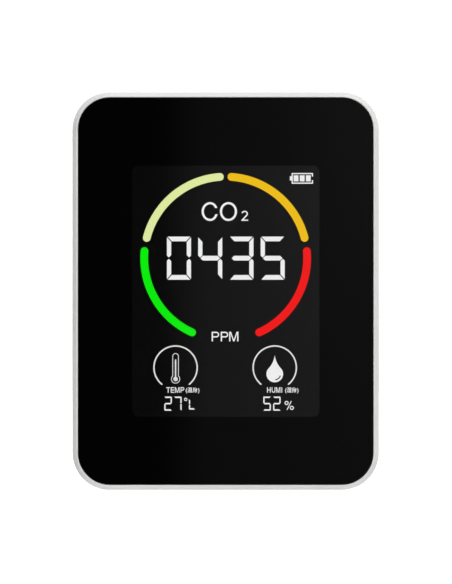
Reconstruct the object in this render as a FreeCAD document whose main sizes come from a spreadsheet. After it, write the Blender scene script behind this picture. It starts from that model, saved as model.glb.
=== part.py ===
"""Desktop carbon dioxide monitor with a segment display, built as an assembly of separate pieces.

Frame: millimetres, +Z up, the front panel faces -Y, and +X is on the viewer's right. The origin is the
middle of the flat underside, so the case stands on Z = 0, with its depth centred on Y = 0.

From the front the layers are: lens, black mask, tape, front frame, display stack in its tray, main board
with the sensor, battery and connectors on its back, then the rear cover with its grille and stand.
"""

import FreeCAD, Part
import Sketcher
import math
import os
import re

# Driving dimensions. Each becomes one cell of the spreadsheet, with this name as its alias.
SIZES = {
    # case
    "case_width": 91.0, "case_height": 118.0, "case_depth": 30.0, "corner_radius": 11.0, "wall": 2.0,
    "frame_depth": 8.0, "rim_bevel": 1.15, "rim_softening": 0.3, "lip_chamfer": 0.08,
    "seam_chamfer": 0.25, "back_fillet": 4.0, "tongue_depth": 1.0, "tongue_inset": 1.1,
    "tongue_clearance": 0.1, "overshoot": 1.0,
    # front panel stack
    "lens_width": 87.6, "lens_height": 114.9, "lens_radius": 9.4, "lens_thickness": 1.5,
    "lens_recess": 0.2, "lens_gap": 0.1, "lens_edge": 0.15, "mask_thickness": 0.1, "tape_thickness": 0.3,
    "tape_width": 3.2, "tape_inset": 0.6, "plate_thickness": 1.2, "window_width": 55.7,
    "window_height": 74.6, "window_radius": 2.1,
    # display stack, from the front polariser to the tray floor
    "film_width": 57.6, "film_height": 76.6, "film_thickness": 0.2, "film_gap": 0.15, "glass_width": 59.0,
    "glass_height": 78.0, "glass_thickness": 1.1, "contact_ledge": 3.0, "diffuser_thickness": 0.3,
    "guide_height": 76.4, "guide_width": 58.0, "guide_thickness": 2.5, "reflector_thickness": 0.15,
    "tray_clearance": 0.2, "tray_wall": 1.3, "tray_floor": 1.0, "tray_lip": 0.85, "tray_foot_radius": 2.0,
    "tray_foot_height": 0.5, "tray_foot_inset": 4.6, "notch_margin": 1.0, "cutout_gap": 0.5,
    "led_count": 6.0, "led_width": 3.0, "led_height": 1.2, "led_thickness": 1.6, "led_pitch": 9.4,
    "strip_width": 57.0, "strip_height": 3.6, "strip_thickness": 0.3, "strip_gap": 0.4,
    # gauge ring: angles of its round ends, from straight down, from level and from straight up
    "ink_thickness": 0.1, "ring_z": 68.8, "ring_radius": 24.2, "ring_width": 2.3, "ring_foot_angle": 24.3,
    "ring_low_angle": 5.0, "ring_high_angle": 14.4, "ring_top_angle": 4.1,
    # large digits, small digits and the marks beside them
    "digit_x": 0.05, "digit_width": 7.14, "digit_height": 12.8, "digit_pitch": 9.28,
    "upright_width": 1.25, "bar_thickness": 1.39, "segment_gap": 0.3, "tip_share": 0.45,
    "small_digit_z": 25.6, "small_digit_width": 2.22, "small_digit_height": 4.18,
    "small_digit_pitch": 2.9, "small_upright_width": 0.36, "small_bar_thickness": 0.41,
    "small_segment_gap": 0.06, "temperature_x": -15.65, "humidity_x": 13.75, "unit_x": -10.01,
    "unit_z": 25.4, "unit_width": 1.8, "unit_height": 3.1, "degree_x": -11.87, "degree_z": 26.85,
    "degree_radius": 0.37, "degree_stroke": 0.22, "percent_x": 18.87, "percent_z": 25.06,
    "percent_reach": 0.78, "percent_rise": 0.73, "percent_radius": 0.47, "percent_stroke": 0.26,
    "slash_reach": 0.64, "slash_rise": 1.3,
    # dials
    "dial_middle": -0.15, "dial_reach": 14.73, "dial_z": 36.3, "dial_radius": 6.42, "dial_stroke": 0.41,
    "dial_foot_angle": 39.7, "tube_width": 1.88, "tube_top_z": 40.57, "tube_stroke": 0.2,
    "bulb_z": 32.9, "bulb_radius": 1.34, "column_width": 0.41, "column_top_z": 38.75,
    "column_bulb_radius": 0.67, "drop_z": 34.4, "drop_radius": 2.47, "drop_tip": 5.62,
    "drop_flank": 6.8, "glint_radius": 1.72, "glint_width": 0.32, "glint_from": -80.0, "glint_to": -20.0,
    # battery mark
    "mark_x": 22.77, "mark_z": 92.5, "mark_width": 6.35, "mark_height": 3.17, "mark_line": 0.34,
    "mark_gap": 1.06, "nub_width": 0.52, "nub_height": 1.25, "charge_width": 1.42,
    "charge_height": 1.8, "charge_pitch": 1.82, "charge_start": 1.31,
    # ribbon from the glass to the board
    "ribbon_width": 24.0, "ribbon_thickness": 0.15, "ribbon_bend": 1.5, "ribbon_run": 1.925,
    "ribbon_drop": 4.5, "ribbon_bond": 3.3, "ribbon_tail": 0.5,
    # main board
    "board_width": 84.0, "board_height": 110.0, "board_thickness": 1.6, "board_notch": 10.5,
    "board_radius": 1.5, "board_hole_radius": 1.2, "board_post_x": 37.0, "board_post_z": 34.0,
    "board_post_rise": 50.0, "board_post_radius": 2.5,
    # case posts and screws
    "post_x": 36.5, "post_inset": 9.5, "front_post_radius": 3.0, "rear_post_radius": 3.9,
    "post_meet": 5.0, "screw_seat_depth": 7.0, "screw_head_radius": 2.3, "screw_head_height": 1.7,
    "screw_radius": 1.1, "screw_length": 16.0, "screw_clearance": 0.25, "pilot_clearance": 0.05,
    "pilot_spare": 1.0, "board_screw_radius": 0.8, "board_screw_head_radius": 1.9,
    "board_screw_head_height": 1.4, "board_screw_length": 6.0, "screw_head_cross": 2.6, "cross_slot": 0.6,
    "cross_share": 0.58, "board_screw_head_cross": 2.2,
    # rear grille and side slots
    "grille_slot": 23.0, "grille_x": 13.2, "grille_height": 1.7, "grille_z": 77.5, "grille_span": 25.9,
    "grille_rows": 8.0, "side_slot": 8.8, "side_slot_y": 1.2, "side_slot_height": 1.6,
    "side_slot_z": 34.0, "side_slot_span": 28.8, "side_slot_rows": 9.0, "mesh_width": 56.0,
    "mesh_height": 34.0, "mesh_thickness": 0.4,
    # stand, its well in the rear cover and its hinge
    "hinge_z": 62.0, "hinge_inset": 2.05, "barrel_radius": 1.85, "pin_radius": 0.8, "pin_clearance": 0.04,
    "pin_length": 54.0, "stand_width": 49.2, "stand_reach": 54.0, "stand_thickness": 3.0,
    "stand_sink": 0.2, "stand_radius": 4.0, "stop_rise": 2.4, "stop_offset": 0.3,
    "stand_pocket_depth": 1.6, "stand_rib": 1.8, "stand_border": 3.2, "well_side_gap": 0.4,
    "well_end_gap": 0.9, "well_head_gap": 3.15, "well_depth": 4.0, "well_floor": 1.6, "well_wall": 2.0,
    "well_corner": 0.8, "scoop_width": 18.0, "scoop_height": 4.2, "scoop_radius": 1.8, "scoop_depth": 2.4,
    "grip_width": 30.0, "grip_depth": 1.6, "grip_thickness": 1.3, "grip_proud": 0.4,
    # power button and its switch
    "button_y": 1.5, "button_z": 92.0, "button_length": 10.2, "button_width": 4.2, "button_gap": 0.2,
    "button_sink": 0.2, "dish_margin": 2.2, "dish_depth": 0.45, "flange_margin": 1.3,
    "flange_thickness": 0.9, "stem_radius": 1.6, "stem_length": 2.0, "button_round": 0.3,
    "plunger_radius": 1.3, "plunger_length": 4.2, "plunger_standout": 2.6, "plunger_bore_depth": 2.6,
    "plunger_clearance": 0.05, "switch_length": 4.0, "switch_side": 6.0, "switch_leg": 1.0,
    # charging socket
    "socket_z": 24.0, "socket_width": 8.94, "socket_height": 3.26, "socket_length": 7.35,
    "socket_sheet": 0.3, "socket_setback": 0.6, "socket_opening": 0.6, "blade_width": 6.7,
    "blade_thickness": 0.7, "blade_setback": 0.8, "blade_root": 1.4,
    # carbon dioxide sensor
    "sensor_z": 90.0, "sensor_width": 33.0, "sensor_height": 20.0, "sensor_standoff": 3.0,
    "sensor_board": 1.0, "sensor_body_width": 30.0, "sensor_body_height": 18.0, "sensor_body_depth": 8.4,
    "sensor_port_length": 9.0, "sensor_port_width": 4.0, "sensor_port_x": 7.5, "membrane_thickness": 0.4,
    "header_pin": 0.6, "header_pitch": 2.54, "header_pins": 7.0, "header_width": 1.6, "header_base": 2.5,
    "seal_width": 36.0, "seal_height": 23.0, "seal_wall": 3.5, "sensor_fillet": 0.8,
    # battery
    "cell_x": 0.0, "cell_z": 40.0, "cell_width": 34.0, "cell_height": 50.0, "cell_thickness": 10.0,
    "cell_radius": 2.5, "cell_edge": 1.2, "foam_thickness": 0.5, "foam_margin": 3.0, "lead_radius": 0.6,
    "lead_bend": 3.0, "lead_y": 2.2, "red_lead_x": 6.0, "red_lead_z": 71.0, "black_lead_x": -2.0,
    "black_lead_z": 73.2, "plug_x": 22.0, "plug_z": 72.1, "plug_width": 6.5, "plug_height": 6.0,
    "plug_thickness": 4.6,
    # small parts on the board
    "buzzer_x": 27.5, "buzzer_z": 30.0, "buzzer_radius": 6.0, "buzzer_height": 5.5, "buzzer_port": 1.0,
    "chip_side": 7.0, "chip_thickness": 1.4, "chip_x": -27.0, "chip_z": 72.0, "driver_side": 6.0,
    "driver_x": 27.0, "driver_z": 56.0, "charger_width": 5.0, "charger_height": 4.0, "charger_z": 36.0,
    "charger_x": -27.0, "coil_side": 4.0, "coil_height": 2.0, "coil_z": 46.0, "passive_width": 1.6,
    "passive_height": 0.8, "passive_thickness": 0.8, "passive_x": -24.0, "passive_z": 54.0,
    "passive_pitch": 2.6, "climate_x": -36.0, "climate_z": 57.0, "climate_side": 6.0,
    "climate_thickness": 1.2, "climate_cap_side": 2.5, "climate_cap": 0.9, "driver_row_z": 48.0,
    "ribbon_plug_width": 27.0, "ribbon_plug_height": 3.5, "ribbon_plug_thickness": 1.3,
    "ribbon_plug_base": 0.5, "ribbon_plug_clearance": 0.05,
}

# Places worked out from the sizes above, front to back and bottom to top.
PLACES = {
    "front_y": "-case_depth / 2",
    "back_y": "case_depth / 2",
    "middle_z": "case_height / 2",
    "left_dial_x": "dial_middle - dial_reach",
    "right_dial_x": "dial_middle + dial_reach",
    "seam_y": "front_y + frame_depth",
    "groove_inset": "tongue_inset - tongue_clearance",
    "lens_y": "front_y + lens_recess",
    "mask_y": "lens_y + lens_thickness",
    "tape_y": "mask_y + mask_thickness",
    "plate_y": "tape_y + tape_thickness",
    "plate_back_y": "plate_y + plate_thickness",
    "film_y": "tape_y + film_gap",
    "top_glass_y": "film_y + film_thickness",
    "bottom_glass_y": "top_glass_y + glass_thickness",
    "rear_film_y": "bottom_glass_y + glass_thickness",
    "diffuser_y": "rear_film_y + film_thickness",
    "guide_y": "diffuser_y + diffuser_thickness",
    "reflector_y": "guide_y + guide_thickness",
    "tray_floor_y": "reflector_y + reflector_thickness",
    "tray_back_y": "tray_floor_y + tray_floor",
    "tray_front_y": "top_glass_y + tray_lip",
    "bottom_glass_height": "glass_height + contact_ledge",
    "bottom_glass_z": "middle_z - contact_ledge / 2",
    "tray_inner_width": "glass_width + 2 * tray_clearance",
    "tray_inner_height": "bottom_glass_height + 2 * tray_clearance",
    "tray_width": "tray_inner_width + 2 * tray_wall",
    "tray_height": "tray_inner_height + 2 * tray_wall",
    "glass_bottom_z": "middle_z - glass_height / 2 - contact_ledge",
    "glass_top_z": "middle_z + glass_height / 2",
    "board_y": "tray_back_y + tray_foot_height",
    "board_back_y": "board_y + board_thickness",
    "board_low_z": "middle_z - board_height / 2",
    "cavity_back_y": "back_y - wall",
    "cavity_width": "case_width - 2 * wall",
    "cavity_height": "case_height - 2 * wall",
    "cavity_radius": "corner_radius - wall",
    "post_low_z": "post_inset",
    "post_high_z": "case_height - post_inset",
    "post_meet_y": "seam_y + post_meet",
    "screw_seat_y": "back_y - screw_seat_depth",
    "well_y": "back_y - well_depth",
    "well_width": "stand_width + 2 * well_side_gap",
    "well_low_z": "hinge_z - stand_reach - well_end_gap",
    "well_high_z": "hinge_z + well_head_gap",
    "hinge_y": "back_y - hinge_inset",
    "stand_back_y": "back_y - stand_sink",
    "stand_front_y": "stand_back_y - stand_thickness",
    "stand_low_z": "hinge_z - stand_reach",
    "side_x": "case_width / 2",
    "button_face_x": "side_x - button_sink",
    "inner_side_x": "side_x - wall",
    "flange_x": "inner_side_x - flange_thickness",
    "stem_x": "flange_x - stem_length",
    "switch_face_x": "stem_x - plunger_standout",
    "socket_y": "board_back_y + socket_height / 2",
    "socket_mouth_x": "-side_x + socket_setback",
    "socket_back_x": "socket_mouth_x + socket_length - socket_sheet",
    "sensor_board_y": "board_back_y + sensor_standoff",
    "sensor_body_y": "sensor_board_y + sensor_board",
    "seal_y": "sensor_body_y + sensor_body_depth",
    "mesh_y": "cavity_back_y - mesh_thickness",
    "mesh_z": "grille_z + grille_span / 2",
    "cell_y": "board_back_y + foam_thickness",
    "cell_top_z": "cell_z + cell_height / 2",
    "ribbon_y": "bottom_glass_y - ribbon_thickness",
    "ribbon_top_z": "glass_bottom_z + ribbon_bond - ribbon_tail",
    "ribbon_bend_z": "glass_bottom_z - ribbon_tail",
    "ribbon_middle_y": "ribbon_y + ribbon_thickness / 2",
    "ribbon_end_z": "ribbon_bend_z - 2 * ribbon_bend - ribbon_drop",
    "guide_z": "glass_bottom_z + tray_clearance + guide_height / 2",
    "strip_low_z": "glass_top_z - strip_gap / 2 - strip_height",
    "lamp_y": "tray_floor_y - strip_thickness - led_thickness",
}

ZERO = 1e-9  # a smaller coordinate lies on the sketch's axis
TOLERANCE = 1e-6
NORMAL_OF_PLANE = {"XZ_Plane": "front", "YZ_Plane": "right", "XY_Plane": "up"}

document = FreeCAD.newDocument("carbon_dioxide_monitor")
sheet = document.addObject("Spreadsheet::Sheet", "Sizes")
for row, (name, number) in enumerate(SIZES.items(), start=1):
    sheet.set(f"A{row}", name)
    sheet.set(f"B{row}", str(number))
    sheet.setAlias(f"B{row}", name)
document.recompute()


def expression(text):
    """text with each place written out and each size name pointing at its spreadsheet cell."""
    def replace(match):
        word = match.group()
        if word in PLACES:
            return f"({expression(PLACES[word])})"
        return f"Sizes.{word}" if word in SIZES else word
    return re.sub(r"[a-z_]\w*", replace, str(text))


def value(text):
    """The number that a size or place expression gives now."""
    return float(sheet.evalExpression(expression(text)))


class Profile:
    """A sketch on one of its body's origin planes, moved along that plane's normal to a place on the part.

    On XZ_Plane the sketch's axes are X and Z and `offset` is a Y place; on YZ_Plane they are Y and Z with
    an X place; on XY_Plane they are X and Y with a Z place. Every outline is held by bound constraints.
    """

    def __init__(self, body, name, offset, plane="XZ_Plane"):
        self.plane = plane
        self.sketch = body.newObject("Sketcher::SketchObject", f"{body.Name}_{name}")
        support = next(f for f in body.Origin.OriginFeatures if f.Role == plane)
        self.sketch.AttachmentSupport = [(support, "")]
        self.sketch.MapMode = "FlatFace"
        along = f"-({offset})" if plane == "XZ_Plane" else offset
        self.sketch.setExpression("AttachmentOffset.Base.z", expression(along))
        self.count = 0

    def hold(self, kind, references, text):
        """One dimension, bound to its expression."""
        index = self.sketch.addConstraint(Sketcher.Constraint(kind, *references, value(text)))
        self.count += 1
        label = f"{kind.lower()}_{self.count}"
        self.sketch.renameConstraint(index, label)
        self.sketch.setExpression(f"Constraints.{label}", expression(text))

    def place(self, geometry, point, across, up):
        """Fixes a point's two coordinates, each measured from the sketch's origin."""
        for kind, axis, text in (("DistanceX", -2, across), ("DistanceY", -1, up)):
            number = value(text)
            if abs(number) < ZERO:
                self.sketch.addConstraint(Sketcher.Constraint("PointOnObject", geometry, point, axis))
            elif number > 0:
                self.hold(kind, (-1, 1, geometry, point), text)
            else:
                self.hold(kind, (geometry, point, -1, 1), f"-({text})")

    def join(self, kind, *groups):
        """The same constraint on several groups, each of two curves or of two curve and point pairs."""
        for group in groups:
            self.sketch.addConstraint(Sketcher.Constraint(kind, *group))

    def line(self, start, end):
        segment = Part.LineSegment(FreeCAD.Vector(*start), FreeCAD.Vector(*end))
        return self.sketch.addGeometry(segment, False)

    def arc(self, centre, radius, first, last):
        circle = Part.Circle(FreeCAD.Vector(*centre), FreeCAD.Vector(0, 0, 1), radius)
        curve = Part.ArcOfCircle(circle, math.radians(first), math.radians(last))
        return self.sketch.addGeometry(curve, False)

    def circle(self, across, up, radius):
        centre = FreeCAD.Vector(value(across), value(up))
        curve = Part.Circle(centre, FreeCAD.Vector(0, 0, 1), value(radius))
        geometry = self.sketch.addGeometry(curve, False)
        self.hold("Radius", (geometry,), radius)
        self.place(geometry, 3, across, up)
        return self

    def rectangle(self, across, up, width, height, radius=None):
        """A rectangle about a centre, with its corners rounded if a radius is given."""
        left, right = (value(f"({across}) + {s} * ({width}) / 2") for s in (-1, 1))
        low, high = (value(f"({up}) + {s} * ({height}) / 2") for s in (-1, 1))
        round_by = value(radius) if radius else 0.0
        bottom = self.line((left + round_by, low), (right - round_by, low))
        side = self.line((right, low + round_by), (right, high - round_by))
        top = self.line((right - round_by, high), (left + round_by, high))
        other = self.line((left, high - round_by), (left, low + round_by))
        if radius:
            corners = [
                self.arc((right - round_by, low + round_by), round_by, -90, 0),
                self.arc((right - round_by, high - round_by), round_by, 0, 90),
                self.arc((left + round_by, high - round_by), round_by, 90, 180),
                self.arc((left + round_by, low + round_by), round_by, 180, 270),
            ]
            sides = [bottom, side, top, other]
            for step, corner in enumerate(corners):
                following = sides[(step + 1) % 4]
                self.join("Tangent", (sides[step], 2, corner, 1), (corner, 2, following, 1))
            self.join("Equal", *((corners[0], corner) for corner in corners[1:]))
            self.hold("Radius", (corners[0],), radius)
        else:
            self.join("Coincident", (bottom, 2, side, 1), (side, 2, top, 1), (top, 2, other, 1),
                      (other, 2, bottom, 1))
        self.join("Horizontal", (bottom,), (top,))
        self.join("Vertical", (side,), (other,))
        self.hold("DistanceX", (other, 1, side, 1), width)
        self.hold("DistanceY", (bottom, 1, top, 1), height)
        self.place(other, 1, f"({across}) - ({width}) / 2", f"({up}) + ({height}) / 2 - ({radius or 0})")
        return self

    def slot(self, across, up, length, width, upright=False):
        """A slot with half-round ends, lying across the sketch or standing upright in it."""
        reach, half = value(f"(({length}) - ({width})) / 2"), value(f"({width}) / 2")
        middle = (value(across), value(up))
        if upright:
            first = self.arc((middle[0], middle[1] - reach), half, 180, 360)
            second = self.arc((middle[0], middle[1] + reach), half, 0, 180)
            near = self.line((middle[0] + half, middle[1] - reach), (middle[0] + half, middle[1] + reach))
            far = self.line((middle[0] - half, middle[1] + reach), (middle[0] - half, middle[1] - reach))
            run = (across, f"({up}) - (({length}) - ({width})) / 2")
        else:
            first = self.arc((middle[0] - reach, middle[1]), half, 90, 270)
            second = self.arc((middle[0] + reach, middle[1]), half, -90, 90)
            near = self.line((middle[0] - reach, middle[1] - half), (middle[0] + reach, middle[1] - half))
            far = self.line((middle[0] + reach, middle[1] + half), (middle[0] - reach, middle[1] + half))
            run = (f"({across}) - (({length}) - ({width})) / 2", up)
        self.join("Tangent", (first, 2, near, 1), (near, 2, second, 1), (second, 2, far, 1),
                  (far, 2, first, 1))
        self.join("Equal", (first, second))
        self.join("Vertical" if upright else "Horizontal", (near,))
        self.hold("Radius", (first,), f"({width}) / 2")
        self.hold("DistanceY" if upright else "DistanceX", (first, 3, second, 3), f"({length}) - ({width})")
        self.place(first, 3, *run)
        return self

    def arc_slot(self, across, up, radius, width, first, last):
        """A slot of constant width along an arc, with round ends centred at the angles first and last."""
        centre, middle, half = (value(across), value(up)), value(radius), value(width) / 2
        angles = value(first), value(last)
        outer = self.arc(centre, middle + half, *angles)
        inner = self.arc(centre, middle - half, *angles)
        ends = []
        for angle, turned in zip(angles, (180, 0)):
            turn = math.radians(angle)
            end = (centre[0] + middle * math.cos(turn), centre[1] + middle * math.sin(turn))
            ends.append(self.arc(end, half, angle + turned, angle + turned + 180))
        self.join("Tangent", (inner, 1, ends[0], 1), (ends[0], 2, outer, 1), (outer, 2, ends[1], 1),
                  (ends[1], 2, inner, 2))
        self.join("Coincident", (outer, 3, inner, 3))
        self.hold("Radius", (outer,), f"{radius} + ({width}) / 2")
        self.hold("Radius", (ends[0],), f"({width}) / 2")
        self.place(outer, 3, across, up)
        for end, text, angle in zip(ends, (first, last), angles):
            level = abs(math.cos(math.radians(angle))) > math.sqrt(0.5)
            kind, offset = ("DistanceY", f"({radius}) * sin({text})") if level \
                else ("DistanceX", f"({radius}) * cos({text})")
            if value(offset) > 0:
                self.hold(kind, (outer, 3, end, 3), offset)
            else:
                self.hold(kind, (end, 3, outer, 3), f"-({offset})")
        return self

    def polygon(self, *corners):
        """A closed outline through corners, each an (across, up) pair of expressions."""
        points = [(value(across), value(up)) for across, up in corners]
        sides = [self.line(point, points[(step + 1) % len(points)]) for step, point in enumerate(points)]
        for step, side in enumerate(sides):
            self.join("Coincident", (side, 2, sides[(step + 1) % len(sides)], 1))
            self.place(side, 1, *corners[step])
        return self


def new_body(label):
    body = document.addObject("PartDesign::Body", label)
    body.Label = label
    return body


grown, cut = [], []  # features that must add material, and features that must remove some


def pad(body, profile, length, direction="back"):
    """Material from the profile, `length` towards a direction, or half each way with direction 'both'."""
    feature = body.newObject("PartDesign::Pad", f"{profile.sketch.Name}_pad")
    feature.Profile = profile.sketch
    feature.setExpression("Length", expression(length))
    if direction == "both":
        feature.SideType = "Symmetric"
    else:
        feature.Reversed = direction != NORMAL_OF_PLANE[profile.plane]
    body.Tip = feature
    grown.append(feature)
    return feature


def pocket(body, profile, depth, direction="back"):
    """A cut from the profile, `depth` towards a direction, or through everything if depth is None."""
    feature = body.newObject("PartDesign::Pocket", f"{profile.sketch.Name}_cut")
    feature.Profile = profile.sketch
    if depth is None:
        feature.Type = "ThroughAll"
    else:
        feature.setExpression("Length", expression(depth))
    feature.Reversed = direction == NORMAL_OF_PLANE[profile.plane]
    body.Tip = feature
    cut.append(feature)
    return feature


def soften(body, kind, base, size, wanted):
    """A PartDesign Fillet or Chamfer on the edges of `base` that `wanted` accepts."""
    document.recompute()
    edges = [f"Edge{i}" for i, edge in enumerate(base.Shape.Edges, start=1) if wanted(edge)]
    feature = body.newObject(f"PartDesign::{kind}", f"{base.Name}_{kind.lower()}")
    feature.Base = (base, edges)
    feature.setExpression("Radius" if kind == "Fillet" else "Size", expression(size))
    body.Tip = feature
    cut.append(feature)
    return feature


def at_y(place, width="case_width + 1", height="case_height + 1"):
    """Accepts the edges in the plane at a Y place and within a rectangle about the case's middle."""
    y, middle = value(place), value("middle_z")
    half_width, half_height = value(width) / 2, value(height) / 2

    def wanted(edge):
        box = edge.BoundBox
        in_plane = max(abs(box.YMin - y), abs(box.YMax - y)) < TOLERANCE
        across = max(abs(box.XMin), abs(box.XMax)) < half_width
        upwards = max(abs(box.ZMin - middle), abs(box.ZMax - middle)) < half_height
        return in_plane and across and upwards

    return wanted


def repeat_up(body, feature, span, rows):
    """A vertical row of copies of a feature, `rows` of them over `span`."""
    pattern = body.newObject("PartDesign::LinearPattern", f"{feature.Name}_rows")
    pattern.Originals = [feature]
    pattern.Direction = (next(f for f in body.Origin.OriginFeatures if f.Role == "Z_Axis"), [""])
    pattern.setExpression("Length", expression(span))
    pattern.setExpression("Occurrences", expression(rows))
    body.Tip = pattern
    cut.append(pattern)
    return pattern


def slab(label, front, thickness, width, height, centre_z="middle_z", radius=None, centre_x="0"):
    """A flat piece parallel to the front of the case."""
    body = new_body(label)
    outline = Profile(body, "outline", front).rectangle(centre_x, centre_z, width, height, radius)
    pad(body, outline, thickness)
    return body


def corners_of(x, low, high):
    """The four corners, as X and Z places, of a rectangle that is symmetric about X = 0."""
    return [(f"{side}({x})", z) for side in ("", "-") for z in (low, high)]


CASE_POSTS = corners_of("post_x", "post_low_z", "post_high_z")
BOARD_POSTS = corners_of("board_post_x", "board_post_z", "board_post_z + board_post_rise")


def circles(body, name, offset, places, radius):
    """A sketch, parallel to the front, of equal circles at several places."""
    profile = Profile(body, name, offset)
    for x, z in places:
        profile.circle(x, z, radius)
    return profile


def swept(body, spine, section):
    """A solid swept along an open sketch."""
    pipe = body.newObject("PartDesign::AdditivePipe", f"{body.Name}_sweep")
    pipe.Profile = section.sketch
    pipe.Spine = (spine.sketch, [f"Edge{i + 1}" for i in range(len(spine.sketch.Geometry))])
    body.Tip = pipe


# ------------------------------------------------------------------------------------- case shells

def front_frame():
    """White front shell: bevelled rim, seat for the lens, plate round the display, and screw posts."""
    body = new_body("front_frame")
    outline = Profile(body, "outline", "front_y")
    outline.rectangle("0", "middle_z", "case_width", "case_height", "corner_radius")
    block = pad(body, outline, "frame_depth")
    bevel = soften(body, "Chamfer", block, "rim_bevel", at_y("front_y"))
    inner, outer = at_y("front_y"), at_y("front_y + rim_bevel")
    rounded = soften(body, "Fillet", bevel, "rim_softening", lambda edge: inner(edge) or outer(edge))
    soften(body, "Chamfer", rounded, "seam_chamfer", at_y("seam_y"))

    seat = Profile(body, "lens_seat", "front_y")
    seat.rectangle(
        "0", "middle_z", "lens_width + 2 * lens_gap", "lens_height + 2 * lens_gap", "lens_radius + lens_gap"
    )
    seated = pocket(body, seat, "plate_y - front_y")
    lip = at_y("front_y", "lens_width + 3 * lens_gap", "lens_height + 3 * lens_gap")
    soften(body, "Chamfer", seated, "lip_chamfer", lip)

    cavity = Profile(body, "cavity", "seam_y")
    cavity.rectangle("0", "middle_z", "cavity_width", "cavity_height", "cavity_radius")
    pocket(body, cavity, "seam_y - plate_back_y", "front")

    opening = Profile(body, "display_opening", "plate_y")
    opening.rectangle("0", "bottom_glass_z", "tray_width + 2 * cutout_gap", "tray_height + 2 * cutout_gap")
    pocket(body, opening, "plate_thickness")

    tongue = Profile(body, "tongue", "seam_y - tongue_depth")
    tongue.rectangle(
        "0", "middle_z", "case_width - 2 * tongue_inset", "case_height - 2 * tongue_inset",
        "corner_radius - tongue_inset",
    )
    tongue.rectangle("0", "middle_z", "cavity_width", "cavity_height", "cavity_radius")
    pad(body, tongue, "2 * tongue_depth")

    posts = circles(body, "case_posts", "plate_back_y", CASE_POSTS, "front_post_radius")
    pad(body, posts, "post_meet_y - plate_back_y")
    pilots = circles(body, "case_pilots", "post_meet_y", CASE_POSTS, "screw_radius + pilot_clearance")
    pocket(body, pilots, "post_meet_y - screw_seat_y + screw_length + pilot_spare", "front")
    posts = circles(body, "board_posts", "plate_back_y", BOARD_POSTS, "board_post_radius")
    pad(body, posts, "board_y - plate_back_y")
    pilots = circles(body, "board_pilots", "board_y", BOARD_POSTS, "board_screw_radius + pilot_clearance")
    pocket(body, pilots, "board_y - plate_back_y - pilot_spare", "front")


def rear_cover():
    """White rear shell: grille, side slots, stand well, screw posts, button hole and socket opening."""
    body = new_body("rear_cover")
    outline = Profile(body, "outline", "seam_y")
    outline.rectangle("0", "middle_z", "case_width", "case_height", "corner_radius")
    block = pad(body, outline, "case_depth - frame_depth")
    rounded = soften(body, "Fillet", block, "back_fillet", at_y("back_y"))
    soften(body, "Chamfer", rounded, "seam_chamfer", at_y("seam_y"))

    cavity = Profile(body, "cavity", "seam_y")
    cavity.rectangle("0", "middle_z", "cavity_width", "cavity_height", "cavity_radius")
    pocket(body, cavity, "cavity_back_y - seam_y")
    groove = Profile(body, "groove", "seam_y")
    groove.rectangle(
        "0", "middle_z", "case_width - 2 * groove_inset", "case_height - 2 * groove_inset",
        "corner_radius - groove_inset",
    )
    pocket(body, groove, "tongue_depth + tongue_clearance")

    block = Profile(body, "well_block", "well_y - well_floor")
    block.rectangle("0", "(well_high_z + well_wall + wall / 2) / 2", "well_width + 2 * well_wall",
                    "well_high_z + well_wall - wall / 2")
    pad(body, block, "wall + well_floor")
    head = Profile(body, "well_head", "back_y")
    head.rectangle("0", "(well_high_z + middle_z / 2) / 2", "well_width", "well_high_z - middle_z / 2",
                   "well_corner")
    pocket(body, head, "well_depth", "front")
    foot = Profile(body, "well_foot", "back_y")
    foot.rectangle("0", "(well_low_z + middle_z) / 2", "well_width", "middle_z - well_low_z",
                   "stand_radius + well_side_gap")
    pocket(body, foot, "well_depth", "front")
    scoop = Profile(body, "finger_scoop", "back_y")
    scoop.rectangle("0", "well_low_z", "scoop_width", "scoop_height", "scoop_radius")
    pocket(body, scoop, "scoop_depth", "front")
    bores = Profile(body, "hinge_bores", "-well_width / 2 - well_wall - overshoot", "YZ_Plane")
    bores.circle("hinge_y", "hinge_z", "pin_radius + pin_clearance")
    pocket(body, bores, "well_width + 2 * well_wall + 2 * overshoot", "right")

    posts = circles(body, "posts", "post_meet_y", CASE_POSTS, "rear_post_radius")
    pad(body, posts, "cavity_back_y - post_meet_y")
    heads = circles(body, "counterbores", "back_y", CASE_POSTS, "screw_head_radius + screw_clearance")
    pocket(body, heads, "screw_seat_depth", "front")
    holes = circles(body, "screw_holes", "back_y", CASE_POSTS, "screw_radius + screw_clearance")
    pocket(body, holes, "back_y - post_meet_y + overshoot", "front")

    grille = Profile(body, "grille", "back_y")
    for side in ("-", ""):
        grille.slot(f"{side}grille_x", "grille_z", "grille_slot", "grille_height")
    first = pocket(body, grille, "wall + overshoot", "front")
    repeat_up(body, first, "grille_span", "grille_rows")
    slots = Profile(body, "side_slots", "side_x", "YZ_Plane")
    slots.slot("side_slot_y", "side_slot_z", "side_slot", "side_slot_height")
    first = pocket(body, slots, None, "left")
    repeat_up(body, first, "side_slot_span", "side_slot_rows")

    pocket(body, button_outline(body, "button_dish", "side_x", "dish_margin"), "dish_depth", "left")
    pocket(body, button_outline(body, "button_hole", "side_x", "button_gap"), "wall + overshoot", "left")
    socket = Profile(body, "socket_opening", "-side_x", "YZ_Plane")
    socket.slot("socket_y", "socket_z", "socket_width + 2 * socket_opening",
                "socket_height + 2 * socket_opening", upright=True)
    pocket(body, socket, "wall + overshoot", "right")


def button_outline(body, name, offset, margin):
    """The button's outline in the side wall, grown all round by a margin."""
    profile = Profile(body, name, offset, "YZ_Plane")
    return profile.slot("button_y", "button_z", f"button_length + 2 * {margin}",
                        f"button_width + 2 * {margin}", upright=True)


# ------------------------------------------------------------------------------------- front panel

def front_lens():
    body = slab("front_lens", "lens_y", "lens_thickness", "lens_width", "lens_height", radius="lens_radius")
    soften(body, "Chamfer", body.Tip, "lens_edge", at_y("lens_y"))


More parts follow.
